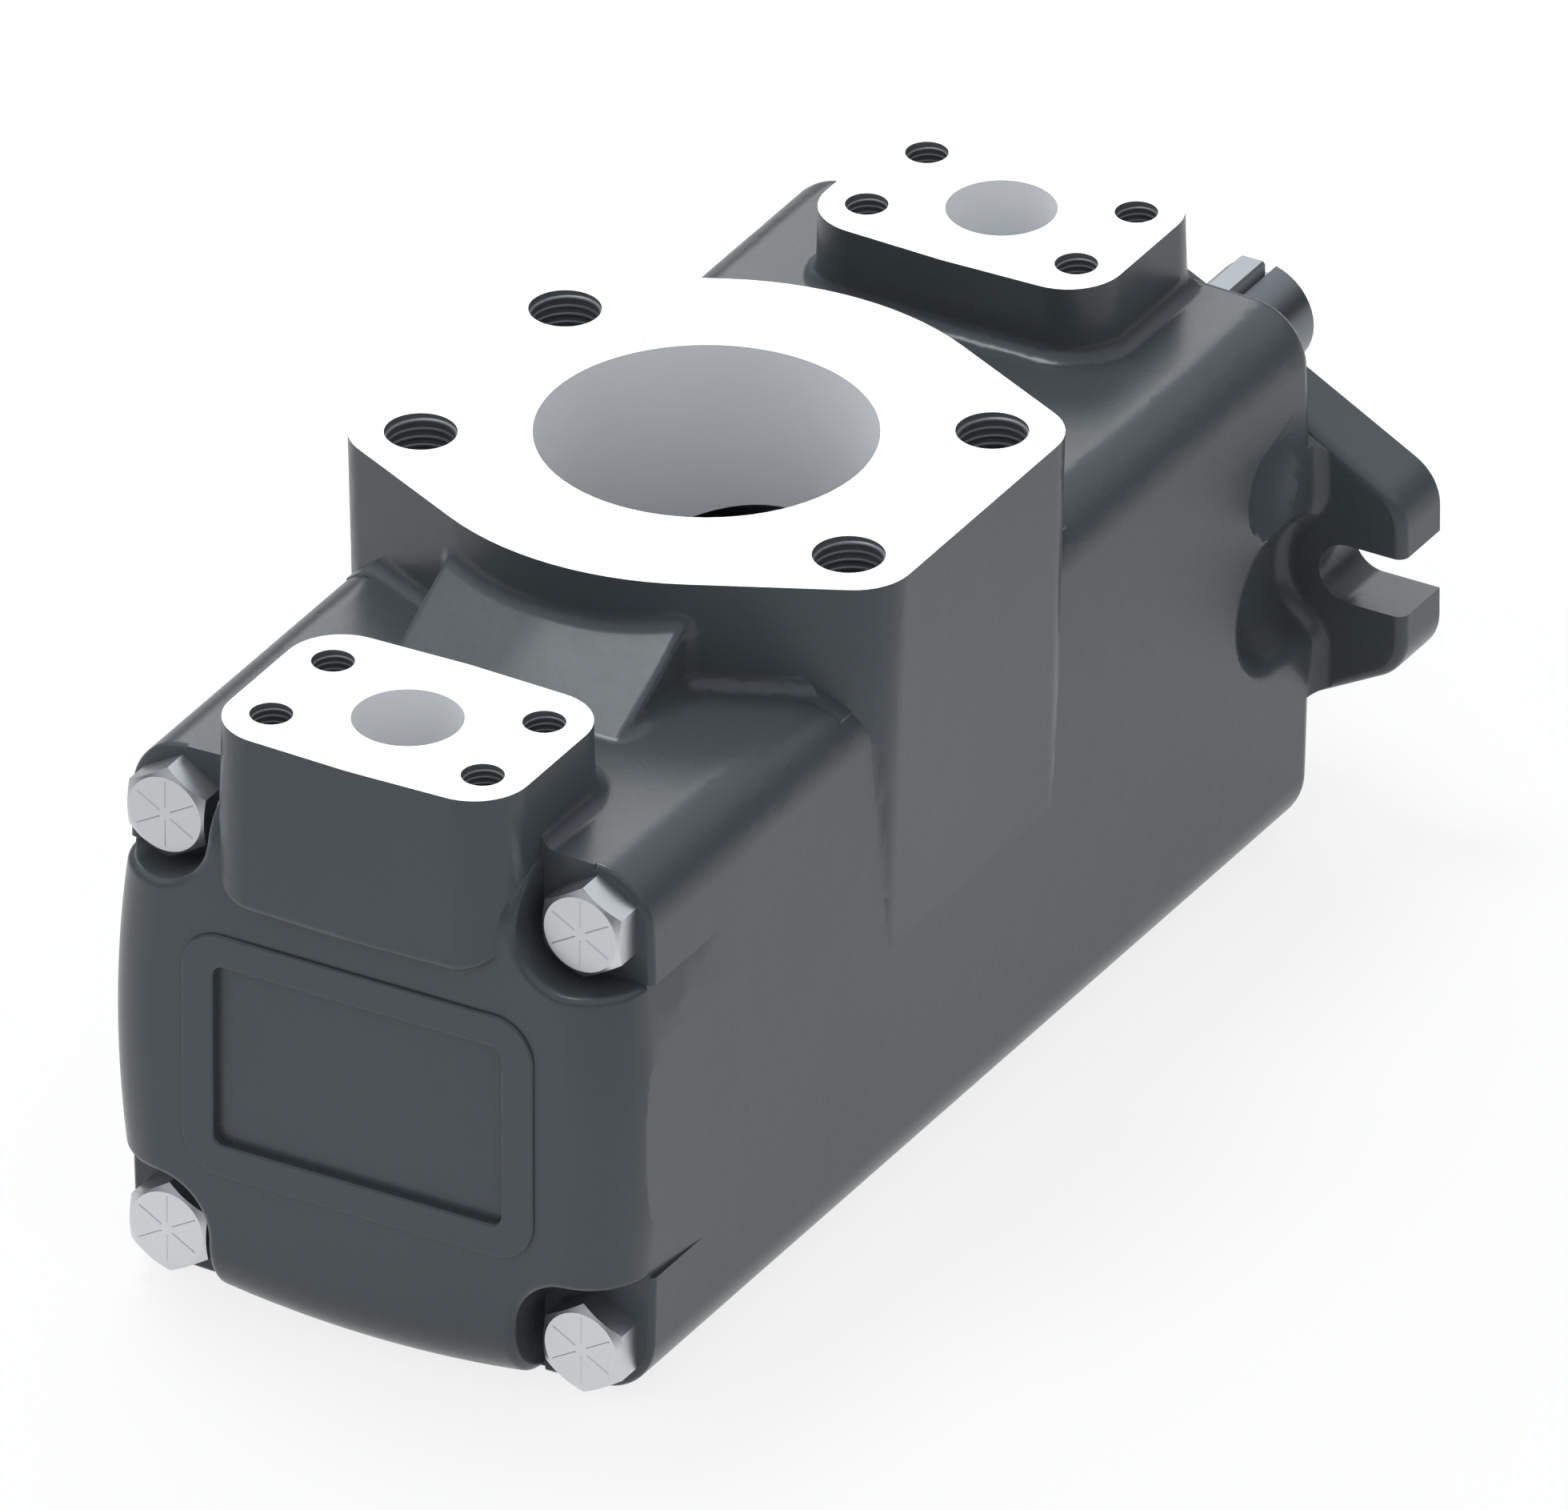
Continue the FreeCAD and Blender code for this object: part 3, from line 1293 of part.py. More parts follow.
def vane(cartridge, number):
    """One vane with its two-lipped tip and, as a second solid, the pin that pushes it out."""
    label = f"{cartridge.name}_vane_{number:02d}"
    turn = Placement(Vector(0, 0, 0), Rotation(Vector(0, 1, 0), 90 - vane_angle(number)))
    body = start_body(label + "_blade")
    start = cartridge.start(rotor_start_inset, rotor_end_inset)
    sketch = start_sketch(body, "XZ_Plane", "section", start)
    half = "vane_thickness / 2"
    tip = "(rotor_radius - vane_tip_inset)"
    draw_polygon(sketch, [
        (f"0 - {half}", vane_foot),
        (half, vane_foot),
        (half, f"{tip} - vane_tip_chamfer"),
        (f"{half} - vane_tip_chamfer", tip),
        ("vane_tip_groove", tip),
        ("0", f"{tip} - vane_tip_groove"),
        ("0 - vane_tip_groove", tip),
        (f"vane_tip_chamfer - {half}", tip),
        (f"0 - {half}", f"{tip} - vane_tip_chamfer"),
    ])
    extrude(body, "Pad", sketch, rotor_width)
    body.Placement = turn
    pin = doc.addObject("Part::Cylinder", label + "_pin")
    bind(pin, Radius="pin_diameter / 2", Height="pin_length")
    middle = value(f"{start} + {rotor_width} / 2")
    foot = value(f"{vane_foot} - pin_length")
    pin.Placement = turn.multiply(Placement(Vector(0, -middle, foot), Rotation()))
    return named(group(label + "_pair", [body, pin]), label)


def vane_angle(number):
    """Where a vane stands, counted from +X towards +Z."""
    return value("vane_phase_angle") + 360 * (number - 1) / value("vane_count")


def side_plate(cartridge):
    disc = cartridge.bar("side_disc", "side_plate_radius", side_inset, back_inset)
    bore = cartridge.bar("side_bore", "side_plate_bore_radius", side_inset, back_inset)
    holes = cartridge.through_holes("side", side_inset, back_inset)
    label = cartridge.name + "_side_plate"
    return named(cut(label + "_cut", disc, bore, *holes), label)


def dowels(cartridge):
    pins = []
    for side in (-1, 1):
        pins.append(cartridge.bar(f"dowel_{side + 1}", "dowel_diameter / 2", "0 - dowel_engagement",
                                  back_inset, z=f"{side} * screw_radius"))
    label = cartridge.name + "_dowels"
    return named(group(label + "_pair", pins), label)


def cartridge_screws(cartridge):
    """Two socket head screws that hold the cartridge together and to its seat."""
    screws = []
    for side in (-1, 1):
        place = f"{side} * screw_radius"
        tag = "right" if side > 0 else "left"
        top = f"({back_inset} + screw_head_height)"
        head = cartridge.bar(f"screw_head_{tag}", "screw_head_diameter / 2", back_inset, top, x=place)
        shank = cartridge.bar(f"screw_shank_{tag}", "screw_diameter / 2", "0 - screw_engagement", back_inset,
                              x=place)
        whole = doc.addObject("Part::Fuse", f"{cartridge.name}_screw_blank_{tag}")
        whole.Base = head
        whole.Tool = shank
        socket = doc.addObject("Part::Prism", f"{cartridge.name}_screw_socket_{tag}")
        socket.Polygon = 6
        socket.Placement = Placement(Vector(0, 0, 0), along_depth)
        near = f"{top} - screw_socket_depth"
        bind(socket, Circumradius="screw_socket_width / sqrt(3)", Height="screw_socket_depth",
             Placement__Base__x=place, Placement__Base__y=f"0 - {cartridge.start(near, top)}")
        screws.append(cut(f"{cartridge.name}_screw_{tag}", whole, socket))
    label = cartridge.name + "_cartridge_screws"
    return named(group(label + "_pair", screws), label)


def cartridge_pieces(cartridge, major, tooth_width):
    name = cartridge.name
    pieces = [
        seal_ring(name + "_plate_seal", "plate_seal_radius", "seal_ring_section",
                  cartridge.depth("seal_ring_section / 2")),
        cam_ring(cartridge),
        rotor(cartridge, major, tooth_width),
        side_plate(cartridge),
        dowels(cartridge),
        cartridge_screws(cartridge),
    ]
    for number in range(1, int(value("vane_count")) + 1):
        pieces.append(vane(cartridge, number))
    return pieces


def build():
    pieces = [
        casting("main_housing", housing_outside(), housing_inside()),
        casting("end_cap", cap_outside(), cap_inside()),
        cap_bolts(),
        seal_ring("cap_seal_ring", "cap_seal_radius", "seal_ring_section",
                  "housing_length - seal_ring_section / 2"),
        drive_shaft(),
        shaft_key(),
        bearing_ring("bearing_outer_ring", "bearing_outer_diameter / 2",
                     "bearing_outer_diameter / 2 - bearing_outer_wall"),
        bearing_ring("bearing_inner_ring", "bearing_bore / 2 + bearing_inner_wall", "bearing_bore / 2"),
        named(group("ball_group", ball_set("ball", "ball_diameter / 2")), "bearing_balls"),
        bearing_cage(),
        open_ring("bearing_retaining_ring", "bearing_outer_diameter / 2 + retaining_ring_groove",
                  "bearing_outer_diameter / 2 + retaining_ring_groove - retaining_ring_height",
                  "bearing_depth - retaining_ring_width", "retaining_ring_width"),
        open_ring("shaft_retaining_ring", "bearing_bore / 2 - shaft_ring_groove + shaft_ring_height",
                  "bearing_bore / 2 - shaft_ring_groove",
                  "bearing_depth - shaft_ring_width", "shaft_ring_width"),
    ]
    pieces += shaft_seal()
    front_cartridge = Cartridge("front", "cartridge_depth", 1)
    rear_cartridge = Cartridge("rear", "housing_length", -1)
    pieces.append(front_port_plate(front_cartridge))
    pieces.append(seal_ring("front_hub_seal", "hub_radius - hub_seal_section / 2", "hub_seal_section",
                            hub_seal_depth()))
    pieces.append(rear_port_plate(rear_cartridge))
    pieces.append(rear_bush(rear_cartridge))
    pieces += cartridge_pieces(front_cartridge, "spline_major_diameter", "spline_tooth_width")
    pieces += cartridge_pieces(rear_cartridge, "rear_spline_major_diameter", "rear_spline_tooth_width")
    return pieces


pieces = build()
doc.recompute()
for item in doc.Objects:
    if "Invalid" in item.State or "Error" in item.State:
        raise RuntimeError(f"{item.Name} could not be computed: {item.State}")
for piece in pieces:
    if piece.Shape.isNull() or not piece.Shape.isValid():
        raise RuntimeError(f"{piece.Label} has no valid shape")
os.makedirs("parts", exist_ok=True)
for piece in pieces:
    piece.Shape.exportStep(os.path.join("parts", piece.Label + ".step"))
    print(piece.Label, len(piece.Shape.Solids), round(piece.Shape.Volume, 1))
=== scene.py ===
import bmesh
import bpy
import json
import math
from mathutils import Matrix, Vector


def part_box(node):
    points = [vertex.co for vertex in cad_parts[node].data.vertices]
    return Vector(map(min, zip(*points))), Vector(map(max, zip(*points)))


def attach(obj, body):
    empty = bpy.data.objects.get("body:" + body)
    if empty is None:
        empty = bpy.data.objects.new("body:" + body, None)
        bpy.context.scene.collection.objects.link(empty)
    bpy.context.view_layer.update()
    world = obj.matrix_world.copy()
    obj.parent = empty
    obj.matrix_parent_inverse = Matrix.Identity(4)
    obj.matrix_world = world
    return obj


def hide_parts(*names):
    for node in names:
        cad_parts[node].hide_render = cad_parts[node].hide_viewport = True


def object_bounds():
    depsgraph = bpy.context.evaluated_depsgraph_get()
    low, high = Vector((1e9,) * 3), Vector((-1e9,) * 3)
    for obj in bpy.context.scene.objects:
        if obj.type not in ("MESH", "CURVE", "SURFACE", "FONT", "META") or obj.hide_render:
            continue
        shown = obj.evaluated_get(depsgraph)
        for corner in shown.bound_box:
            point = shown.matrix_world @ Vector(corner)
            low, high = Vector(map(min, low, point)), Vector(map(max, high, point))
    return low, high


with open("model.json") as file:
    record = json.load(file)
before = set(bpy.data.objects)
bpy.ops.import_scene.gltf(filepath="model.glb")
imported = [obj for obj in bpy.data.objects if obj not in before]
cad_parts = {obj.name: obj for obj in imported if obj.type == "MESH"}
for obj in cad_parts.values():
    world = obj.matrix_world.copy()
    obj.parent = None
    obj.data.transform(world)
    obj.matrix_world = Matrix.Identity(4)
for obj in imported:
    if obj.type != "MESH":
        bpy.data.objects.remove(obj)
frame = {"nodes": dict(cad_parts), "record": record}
cadBox = [list(corner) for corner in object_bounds()]
record = frame["record"]
mounts = {mount["name"]: mount for mount in record["mounts"]}
mm = 0.001
print("stage: frame loaded")


def linearColour(hexText):  # sRGB hex to the linear colour that shaders take
    shares = [int(hexText[i:i + 2], 16) / 255 for i in (1, 3, 5)]
    linear = [s / 12.92 if s <= 0.04045 else ((s + 0.055) / 1.055) ** 2.4 for s in shares]
    return (*linear, 1.0)


def addNode(tree, kind, settings=None, inputs=None):
    # an input is a number, a colour or another node's output; keys are socket names or numbers
    node = tree.nodes.new(kind)
    for name, setting in (settings or {}).items():
        setattr(node, name, setting)
    for key, given in (inputs or {}).items():
        if isinstance(given, bpy.types.NodeSocket):
            tree.links.new(given, node.inputs[key])
        else:
            node.inputs[key].default_value = given
    return node


def startMaterial(name):
    material = bpy.data.materials.new(name)
    material.use_nodes = True
    tree = material.node_tree
    tree.nodes.clear()
    place = addNode(tree, "ShaderNodeTexCoord").outputs["Object"]
    return material, tree, place


def endMaterial(tree, shader):
    addNode(tree, "ShaderNodeOutputMaterial", inputs={"Surface": shader.outputs[0]})


# Painted grey iron casting: sand-cast skin under a thin coat of satin primer. It gives a dark slate
# body colour that drifts a little, and a soft skin of grains that breaks up the sheen.
castPaint = {"dark": "#3f4447", "light": "#494e51", "patch": 70 * mm, "roughLow": 0.24, "roughHigh": 0.32,
             "grain": 1.6 * mm, "grainDepth": 0.008 * mm, "grainBump": 0.6,
             "skin": 9 * mm, "skinDepth": 0.08 * mm, "skinBump": 0.5, "ior": 1.45, "sheen": "#edf2f5"}


def makeCastPaint(name, look):
    material, tree, place = startMaterial(name)
    patch = addNode(tree, "ShaderNodeTexNoise", inputs={
        "Vector": place, "Scale": 1 / look["patch"], "Detail": 3.0})
    grain = addNode(tree, "ShaderNodeTexNoise", inputs={
        "Vector": place, "Scale": 1 / look["grain"], "Detail": 4.0})
    skin = addNode(tree, "ShaderNodeTexNoise", inputs={
        "Vector": place, "Scale": 1 / look["skin"], "Detail": 2.0})
    colour = addNode(tree, "ShaderNodeMix", {"data_type": "RGBA"}, {
        0: patch.outputs["Fac"], 6: linearColour(look["dark"]), 7: linearColour(look["light"])})
    rough = addNode(tree, "ShaderNodeMapRange", inputs={
        "Value": grain.outputs["Fac"], "To Min": look["roughLow"], "To Max": look["roughHigh"]})
    wave = addNode(tree, "ShaderNodeBump", inputs={
        "Height": skin.outputs["Fac"], "Distance": look["skinDepth"], "Strength": look["skinBump"]})
    bump = addNode(tree, "ShaderNodeBump", inputs={
        "Height": grain.outputs["Fac"], "Distance": look["grainDepth"], "Strength": look["grainBump"],
        "Normal": wave.outputs[0]})
    endMaterial(tree, addNode(tree, "ShaderNodeBsdfPrincipled", inputs={
        "Base Color": colour.outputs[2], "Roughness": rough.outputs[0], "Normal": bump.outputs[0],
        "IOR": look["ior"], "Specular Tint": linearColour(look["sheen"])}))
    return material


# Bare metal cut by a tool. The lines run along one axis for a turned or ground round piece, or in
# wide arcs for a milled face, and the eye sees them as a faint drag in the reflections.
toolMarks = {
    "milledIron": {"dark": "#e6e8ea", "light": "#f6f7f8", "pitch": 1.4 * mm, "rough": 0.42,
                   "depth": 0.008 * mm, "metal": 0.5, "arcCentre": (-0.09, 0.02, 0.0)},
    "boredIron": {"dark": "#eceef0", "light": "#f8f9fa", "pitch": 0.7 * mm, "rough": 0.5,
                  "depth": 0.01 * mm, "metal": 0.2, "axis": "Z"},
    "turnedIron": {"dark": "#8e9294", "light": "#b4b8ba", "pitch": 0.6 * mm, "rough": 0.38,
                   "depth": 0.01 * mm, "metal": 1.0, "axis": "Y"},
    # tapped iron is the same cut iron as the bores, set darker: painted shade inside the bolt holes and on
    # their threads
    "tappedIronPaintedShade": {"dark": "#6a6e71", "light": "#94989b", "pitch": 0.9 * mm, "rough": 0.5,
                   "depth": 0.01 * mm, "metal": 0.6, "axis": "Z"},
    "groundSteel": {"dark": "#73787c", "light": "#83888c", "pitch": 0.5 * mm, "rough": 0.3,
                    "depth": 0.0012 * mm, "metal": 1.0, "axis": "Y"},
    "toolSteel": {"dark": "#85898c", "light": "#a3a7aa", "pitch": 0.4 * mm, "rough": 0.3,
                  "depth": 0.004 * mm, "metal": 1.0, "axis": "Y"},
    "bronze": {"dark": "#8f6a3c", "light": "#b98d55", "pitch": 0.5 * mm, "rough": 0.35,
               "depth": 0.006 * mm, "metal": 1.0, "axis": "Y"},
    "bearingSteel": {"dark": "#b6babd", "light": "#cdd1d4", "pitch": 0.3 * mm, "rough": 0.16,
                     "depth": 0.002 * mm, "metal": 1.0, "axis": "Y"},
}
toolDrift = {"cloud": 14 * mm, "cloudShare": 0.35, "roughSpread": 0.07}  # slow change across the lines


def makeToolMarks(name, look):
    material, tree, place = startMaterial(name)
    if "axis" in look:
        parts = addNode(tree, "ShaderNodeSeparateXYZ", inputs={0: place})
        along = parts.outputs[look["axis"]]
    else:
        centred = addNode(tree, "ShaderNodeVectorMath", {"operation": "DISTANCE"}, {
            0: place, 1: look["arcCentre"]})
        along = centred.outputs["Value"]
    lines = addNode(tree, "ShaderNodeTexNoise", {"noise_dimensions": "1D"}, {
        "W": along, "Scale": 1 / look["pitch"], "Detail": 4.0, "Roughness": 0.7})
    cloud = addNode(tree, "ShaderNodeTexNoise", inputs={
        "Vector": place, "Scale": 1 / toolDrift["cloud"], "Detail": 2.0})
    share = addNode(tree, "ShaderNodeMix", {"data_type": "FLOAT"}, {
        0: toolDrift["cloudShare"], 2: lines.outputs["Fac"], 3: cloud.outputs["Fac"]})
    colour = addNode(tree, "ShaderNodeMix", {"data_type": "RGBA"}, {
        0: share.outputs[0], 6: linearColour(look["dark"]), 7: linearColour(look["light"])})
    rough = addNode(tree, "ShaderNodeMapRange", inputs={
        "Value": share.outputs[0], "To Min": look["rough"] - toolDrift["roughSpread"],
        "To Max": look["rough"] + toolDrift["roughSpread"]})
    bump = addNode(tree, "ShaderNodeBump", inputs={
        "Height": lines.outputs["Fac"], "Distance": look["depth"], "Strength": 1.0})
    endMaterial(tree, addNode(tree, "ShaderNodeBsdfPrincipled", inputs={
        "Base Color": colour.outputs[2], "Metallic": look["metal"], "Roughness": rough.outputs[0],
        "Normal": bump.outputs[0]}))
    return material


# Plated or blackened steel: forged or rolled under a thin even coat. It gives a soft satin tone with
# fine mottling and no tool lines.
coatedSteel = {
    "zincSteel": {"dark": "#cdd0d3", "light": "#dbdee0", "grain": 1.2 * mm, "roughLow": 0.28,
                  "roughHigh": 0.4, "depth": 0.008 * mm, "bump": 0.5},
    "blackSteel": {"dark": "#22262a", "light": "#2e3236", "grain": 0.8 * mm, "roughLow": 0.34,
                   "roughHigh": 0.46, "depth": 0.006 * mm, "bump": 0.5},
}


def makeCoatedSteel(name, look):
    material, tree, place = startMaterial(name)
    grain = addNode(tree, "ShaderNodeTexNoise", inputs={
        "Vector": place, "Scale": 1 / look["grain"], "Detail": 5.0})
    colour = addNode(tree, "ShaderNodeMix", {"data_type": "RGBA"}, {
        0: grain.outputs["Fac"], 6: linearColour(look["dark"]), 7: linearColour(look["light"])})
    rough = addNode(tree, "ShaderNodeMapRange", inputs={
        "Value": grain.outputs["Fac"], "To Min": look["roughLow"], "To Max": look["roughHigh"]})
    bump = addNode(tree, "ShaderNodeBump", inputs={
        "Height": grain.outputs["Fac"], "Distance": look["depth"], "Strength": look["bump"]})
    endMaterial(tree, addNode(tree, "ShaderNodeBsdfPrincipled", inputs={
        "Base Color": colour.outputs[2], "Metallic": 1.0, "Roughness": rough.outputs[0],
        "Normal": bump.outputs[0]}))
    return material


# Nitrile rubber, compression moulded: near black, with a dull bloom that softens every highlight.
rubber = {"dark": "#16181a", "light": "#222527", "grain": 0.5 * mm, "rough": 0.6, "depth": 0.01 * mm,
          "bump": 0.4, "ior": 1.52}


def makeRubber(name, look):
    material, tree, place = startMaterial(name)
    grain = addNode(tree, "ShaderNodeTexNoise", inputs={
        "Vector": place, "Scale": 1 / look["grain"], "Detail": 3.0})
    colour = addNode(tree, "ShaderNodeMix", {"data_type": "RGBA"}, {
        0: grain.outputs["Fac"], 6: linearColour(look["dark"]), 7: linearColour(look["light"])})
    bump = addNode(tree, "ShaderNodeBump", inputs={
        "Height": grain.outputs["Fac"], "Distance": look["depth"], "Strength": look["bump"]})
    endMaterial(tree, addNode(tree, "ShaderNodeBsdfPrincipled", inputs={
        "Base Color": colour.outputs[2], "Roughness": look["rough"], "IOR": look["ior"],
        "Normal": bump.outputs[0]}))
    return material


materials = {"castPaint": makeCastPaint("castPaint", castPaint), "rubber": makeRubber("rubber", rubber)}
for finish, look in toolMarks.items():
    materials[finish] = makeToolMarks(finish, look)
for finish, look in coatedSteel.items():
    materials[finish] = makeCoatedSteel(finish, look)
slotFinish = {
    "castings": "castPaint", "cap_bolt_steel": "zincSteel", "ground_steel": "groundSteel",
    "bearing_steel": "bearingSteel", "machined_iron": "turnedIron", "tool_steel": "toolSteel",
    "black_screw_steel": "blackSteel", "seal_rubber": "rubber", "bronze": "bronze",
}
slotOf = {part["node"]: part["material_slot"] for part in record["subparts"]}
for nodeName, node in frame["nodes"].items():
    node.data.materials.clear()
    node.data.materials.append(materials[slotFinish[slotOf[nodeName]]])
print("stage: materials made")


def plainMesh(piece):
    # turns the evaluated shape into the piece's own mesh and removes its modifiers
    bpy.context.view_layer.update()
    evaluated = piece.evaluated_get(bpy.context.evaluated_depsgraph_get())
    mesh = bpy.data.meshes.new_from_object(evaluated)
    piece.modifiers.clear()
    piece.data = mesh
    mesh.name = piece.name
    return piece


def newPiece(name, mesh):
    piece = bpy.data.objects.new(name, mesh)
    bpy.context.scene.collection.objects.link(piece)
    return piece


def settle(piece, body, slot, *nodes):
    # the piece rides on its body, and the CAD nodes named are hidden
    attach(piece, body)
    if nodes:
        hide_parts(*nodes)


def smoothCopy(nodeName, name, sharpAngle, finishes, chooseFinish=None):
    # a CAD node's triangles, joined and shaded smooth between its sharp edges
    mesh = frame["nodes"][nodeName].data.copy()
    mesh.materials.clear()
    for finish in finishes:
        mesh.materials.append(materials[finish])
    shape = bmesh.new()
    shape.from_mesh(mesh)
    bmesh.ops.remove_doubles(shape, verts=shape.verts, dist=0.002 * mm)
    sharpest = math.radians(sharpAngle)
    for edge in shape.edges:
        edge.smooth = len(edge.link_faces) == 2 and edge.calc_face_angle(0.0) < sharpest
    for face in shape.faces:
        face.smooth = True
        if chooseFinish:
            finish = chooseFinish(face.calc_center_median(), face.normal)
            face.material_index = finishes.index(finish)
    shape.to_mesh(mesh)
    shape.free()
    piece = newPiece(name, mesh)
    weighted = piece.modifiers.new("weighted", "WEIGHTED_NORMAL")
    weighted.keep_sharp = True
    weighted.mode = "FACE_AREA_WITH_ANGLE"
    return plainMesh(piece)


# The castings: painted all over but for the faces and bores that a tool has cut. Which those are
# follows from the mounts.
castings = {
    "sharpAngle": 32,
    "finishes": ["castPaint", "milledIron", "boredIron", "turnedIron", "tappedIronPaintedShade"],
    "near": 0.06 * mm,          # a face this close to a plane or a wall lies on it
    "flatness": 0.5 * mm,       # the middle of a flat facet lies up to this far inside its round wall
    "portFoot": 20 * mm,        # the ports' bores stay above this height
    "insideRadius": 55.5 * mm,  # the bores about the shaft are smaller, and the cast walls are larger
    "insideRear": 12 * mm,      # how far from the rear end those bores begin
}
bores = [mounts[name] for name in ("suction_port", "front_pressure_port", "rear_pressure_port")]
patterns = [mounts[name] for name in ("suction_bolts", "front_pressure_bolts", "rear_pressure_bolts")]
holes = []
for pattern in patterns:
    x, y, z = pattern["pos_m"]
    across = pattern["dims"]["spacing_x_mm"] * mm / 2
    along = pattern["dims"]["spacing_y_mm"] * mm / 2
    holes += [(Vector((x + sx * across, y + sy * along, z)), pattern["dims"]["hole_r_mm"] * mm)
              for sx in (-1, 1) for sy in (-1, 1)]


def castingFinish(centre, normal):
    near = castings["near"]
    facesUp = normal.z > 0.999
    standsUpright = abs(normal.z) < 0.1
    facesShaftEnd = normal.y > 0.99
    if facesUp and any(abs(centre.z - pattern["pos_m"][2]) < near for pattern in patterns):
        return "milledIron"
    for bore in bores:
        away = math.hypot(centre.x - bore["pos_m"][0], centre.y - bore["pos_m"][1])
        inside = bore["dims"]["r_mm"] * mm - away
        if standsUpright and -near < inside < castings["flatness"] and centre.z > castings["portFoot"]:
            return "boredIron"
    # the bolt holes' walls take the darker tapped iron, which is painted shade of the holes
    for place, radius in holes:
        away = math.hypot(centre.x - place.x, centre.y - place.y)
        if centre.z < place.z - near and away < radius + near:
            return "tappedIronPaintedShade"
    fromShaft = math.hypot(centre.x, centre.z)
    if fromShaft < castings["insideRadius"] and centre.y > cadBox[0][1] + castings["insideRear"]:
        return "turnedIron"
    if facesShaftEnd and centre.y > -near:
        return "turnedIron"
    return "castPaint"


for nodeName, name in (("main_housing", "mainHousing"), ("end_cap", "endCap")):
    piece = smoothCopy(nodeName, name, castings["sharpAngle"], castings["finishes"], castingFinish)
    settle(piece, "casing", "castings", nodeName)
print("stage: castings")

# The small parts that show: cap bolts, shaft, key and seal.
smallParts = {"sharpAngle": 25, "pieces": (
    ("cap_bolts", "capBolts", "casing"), ("drive_shaft", "driveShaft", "shaft"),
    ("shaft_key", "shaftKey", "shaft"), ("seal_case", "sealCase", "casing"),
    ("seal_lip", "sealLip", "casing"))}
for nodeName, name, body in smallParts["pieces"]:
    piece = smoothCopy(nodeName, name, smallParts["sharpAngle"], [slotFinish[slotOf[nodeName]]])
    settle(piece, body, slotOf[nodeName], nodeName)
print("stage: bolts, shaft and seal")


def startTree(name, inputs):
    # an empty geometry tree with the named inputs
    tree = bpy.data.node_groups.new(name, "GeometryNodeTree")
    tree.interface.new_socket(name="Geometry", in_out="INPUT", socket_type="NodeSocketGeometry")
    tree.interface.new_socket(name="Geometry", in_out="OUTPUT", socket_type="NodeSocketGeometry")
    for label, kind in inputs.items():
        tree.interface.new_socket(name=label, in_out="INPUT", socket_type=kind)
    return tree, addNode(tree, "NodeGroupInput")


def endTree(tree, instances, finish):
    # real meshes in their finish, because the export drops instances
    real = addNode(tree, "GeometryNodeRealizeInstances", inputs={0: instances.outputs[0]})
    done = addNode(tree, "GeometryNodeSetMaterial", inputs={"Geometry": real.outputs[0], "Material": finish})
    addNode(tree, "NodeGroupOutput", inputs={0: done.outputs[0]})
    return tree


def growOnPoints(name, points, tree, values):
    # runs a geometry tree on loose points and keeps the plain mesh that it makes
    mesh = bpy.data.meshes.new(name)
    mesh.from_pydata(points, [], [])
    piece = newPiece(name, mesh)
    modifier = piece.modifiers.new("nodes", "NODES")
    modifier.node_group = tree
    for item in tree.interface.items_tree:
        if item.in_out == "INPUT" and item.name in values:
            modifier[item.identifier] = values[item.name]
    return plainMesh(piece)


# Forged grade marks: six thin ribs that point at the corners of each bolt's head.
gradeMarks = {"count": 6, "innerRadius": 1.6 * mm, "outerRadius": 8.0 * mm, "ribRadius": 0.16 * mm,
              "headWidth": 19.05 * mm, "acrossCorners": 22.0 * mm}


def gradeMarkTree():
    tree, given = startTree("gradeMarks", {
        "Count": "NodeSocketInt", "Inner radius": "NodeSocketFloat", "Outer radius": "NodeSocketFloat",
        "Rib radius": "NodeSocketFloat", "Finish": "NodeSocketMaterial"})
    first = addNode(tree, "ShaderNodeCombineXYZ", inputs={"Z": given.outputs["Inner radius"]})
    last = addNode(tree, "ShaderNodeCombineXYZ", inputs={"Z": given.outputs["Outer radius"]})
    line = addNode(tree, "GeometryNodeCurvePrimitiveLine", inputs={
        "Start": first.outputs[0], "End": last.outputs[0]})
    section = addNode(tree, "GeometryNodeCurvePrimitiveCircle", inputs={
        "Resolution": 8, "Radius": given.outputs["Rib radius"]})
    rib = addNode(tree, "GeometryNodeCurveToMesh", inputs={
        "Curve": line.outputs[0], "Profile Curve": section.outputs[0], "Fill Caps": True})
    centre = addNode(tree, "GeometryNodePoints", inputs={"Count": given.outputs["Count"]})
    index = addNode(tree, "GeometryNodeInputIndex")
    turn = addNode(tree, "ShaderNodeMath", {"operation": "DIVIDE"}, {
        0: 2 * math.pi, 1: given.outputs["Count"]})
    angle = addNode(tree, "ShaderNodeMath", {"operation": "MULTIPLY"}, {
        0: index.outputs[0], 1: turn.outputs[0]})
    around = addNode(tree, "ShaderNodeCombineXYZ", inputs={"Y": angle.outputs[0]})
    star = addNode(tree, "GeometryNodeInstanceOnPoints", inputs={
        "Points": centre.outputs[0], "Instance": rib.outputs[0], "Rotation": around.outputs[0]})
    heads = addNode(tree, "GeometryNodeInstanceOnPoints", inputs={
        "Points": given.outputs["Geometry"], "Instance": star.outputs[0]})
    return endTree(tree, heads, given.outputs["Finish"])


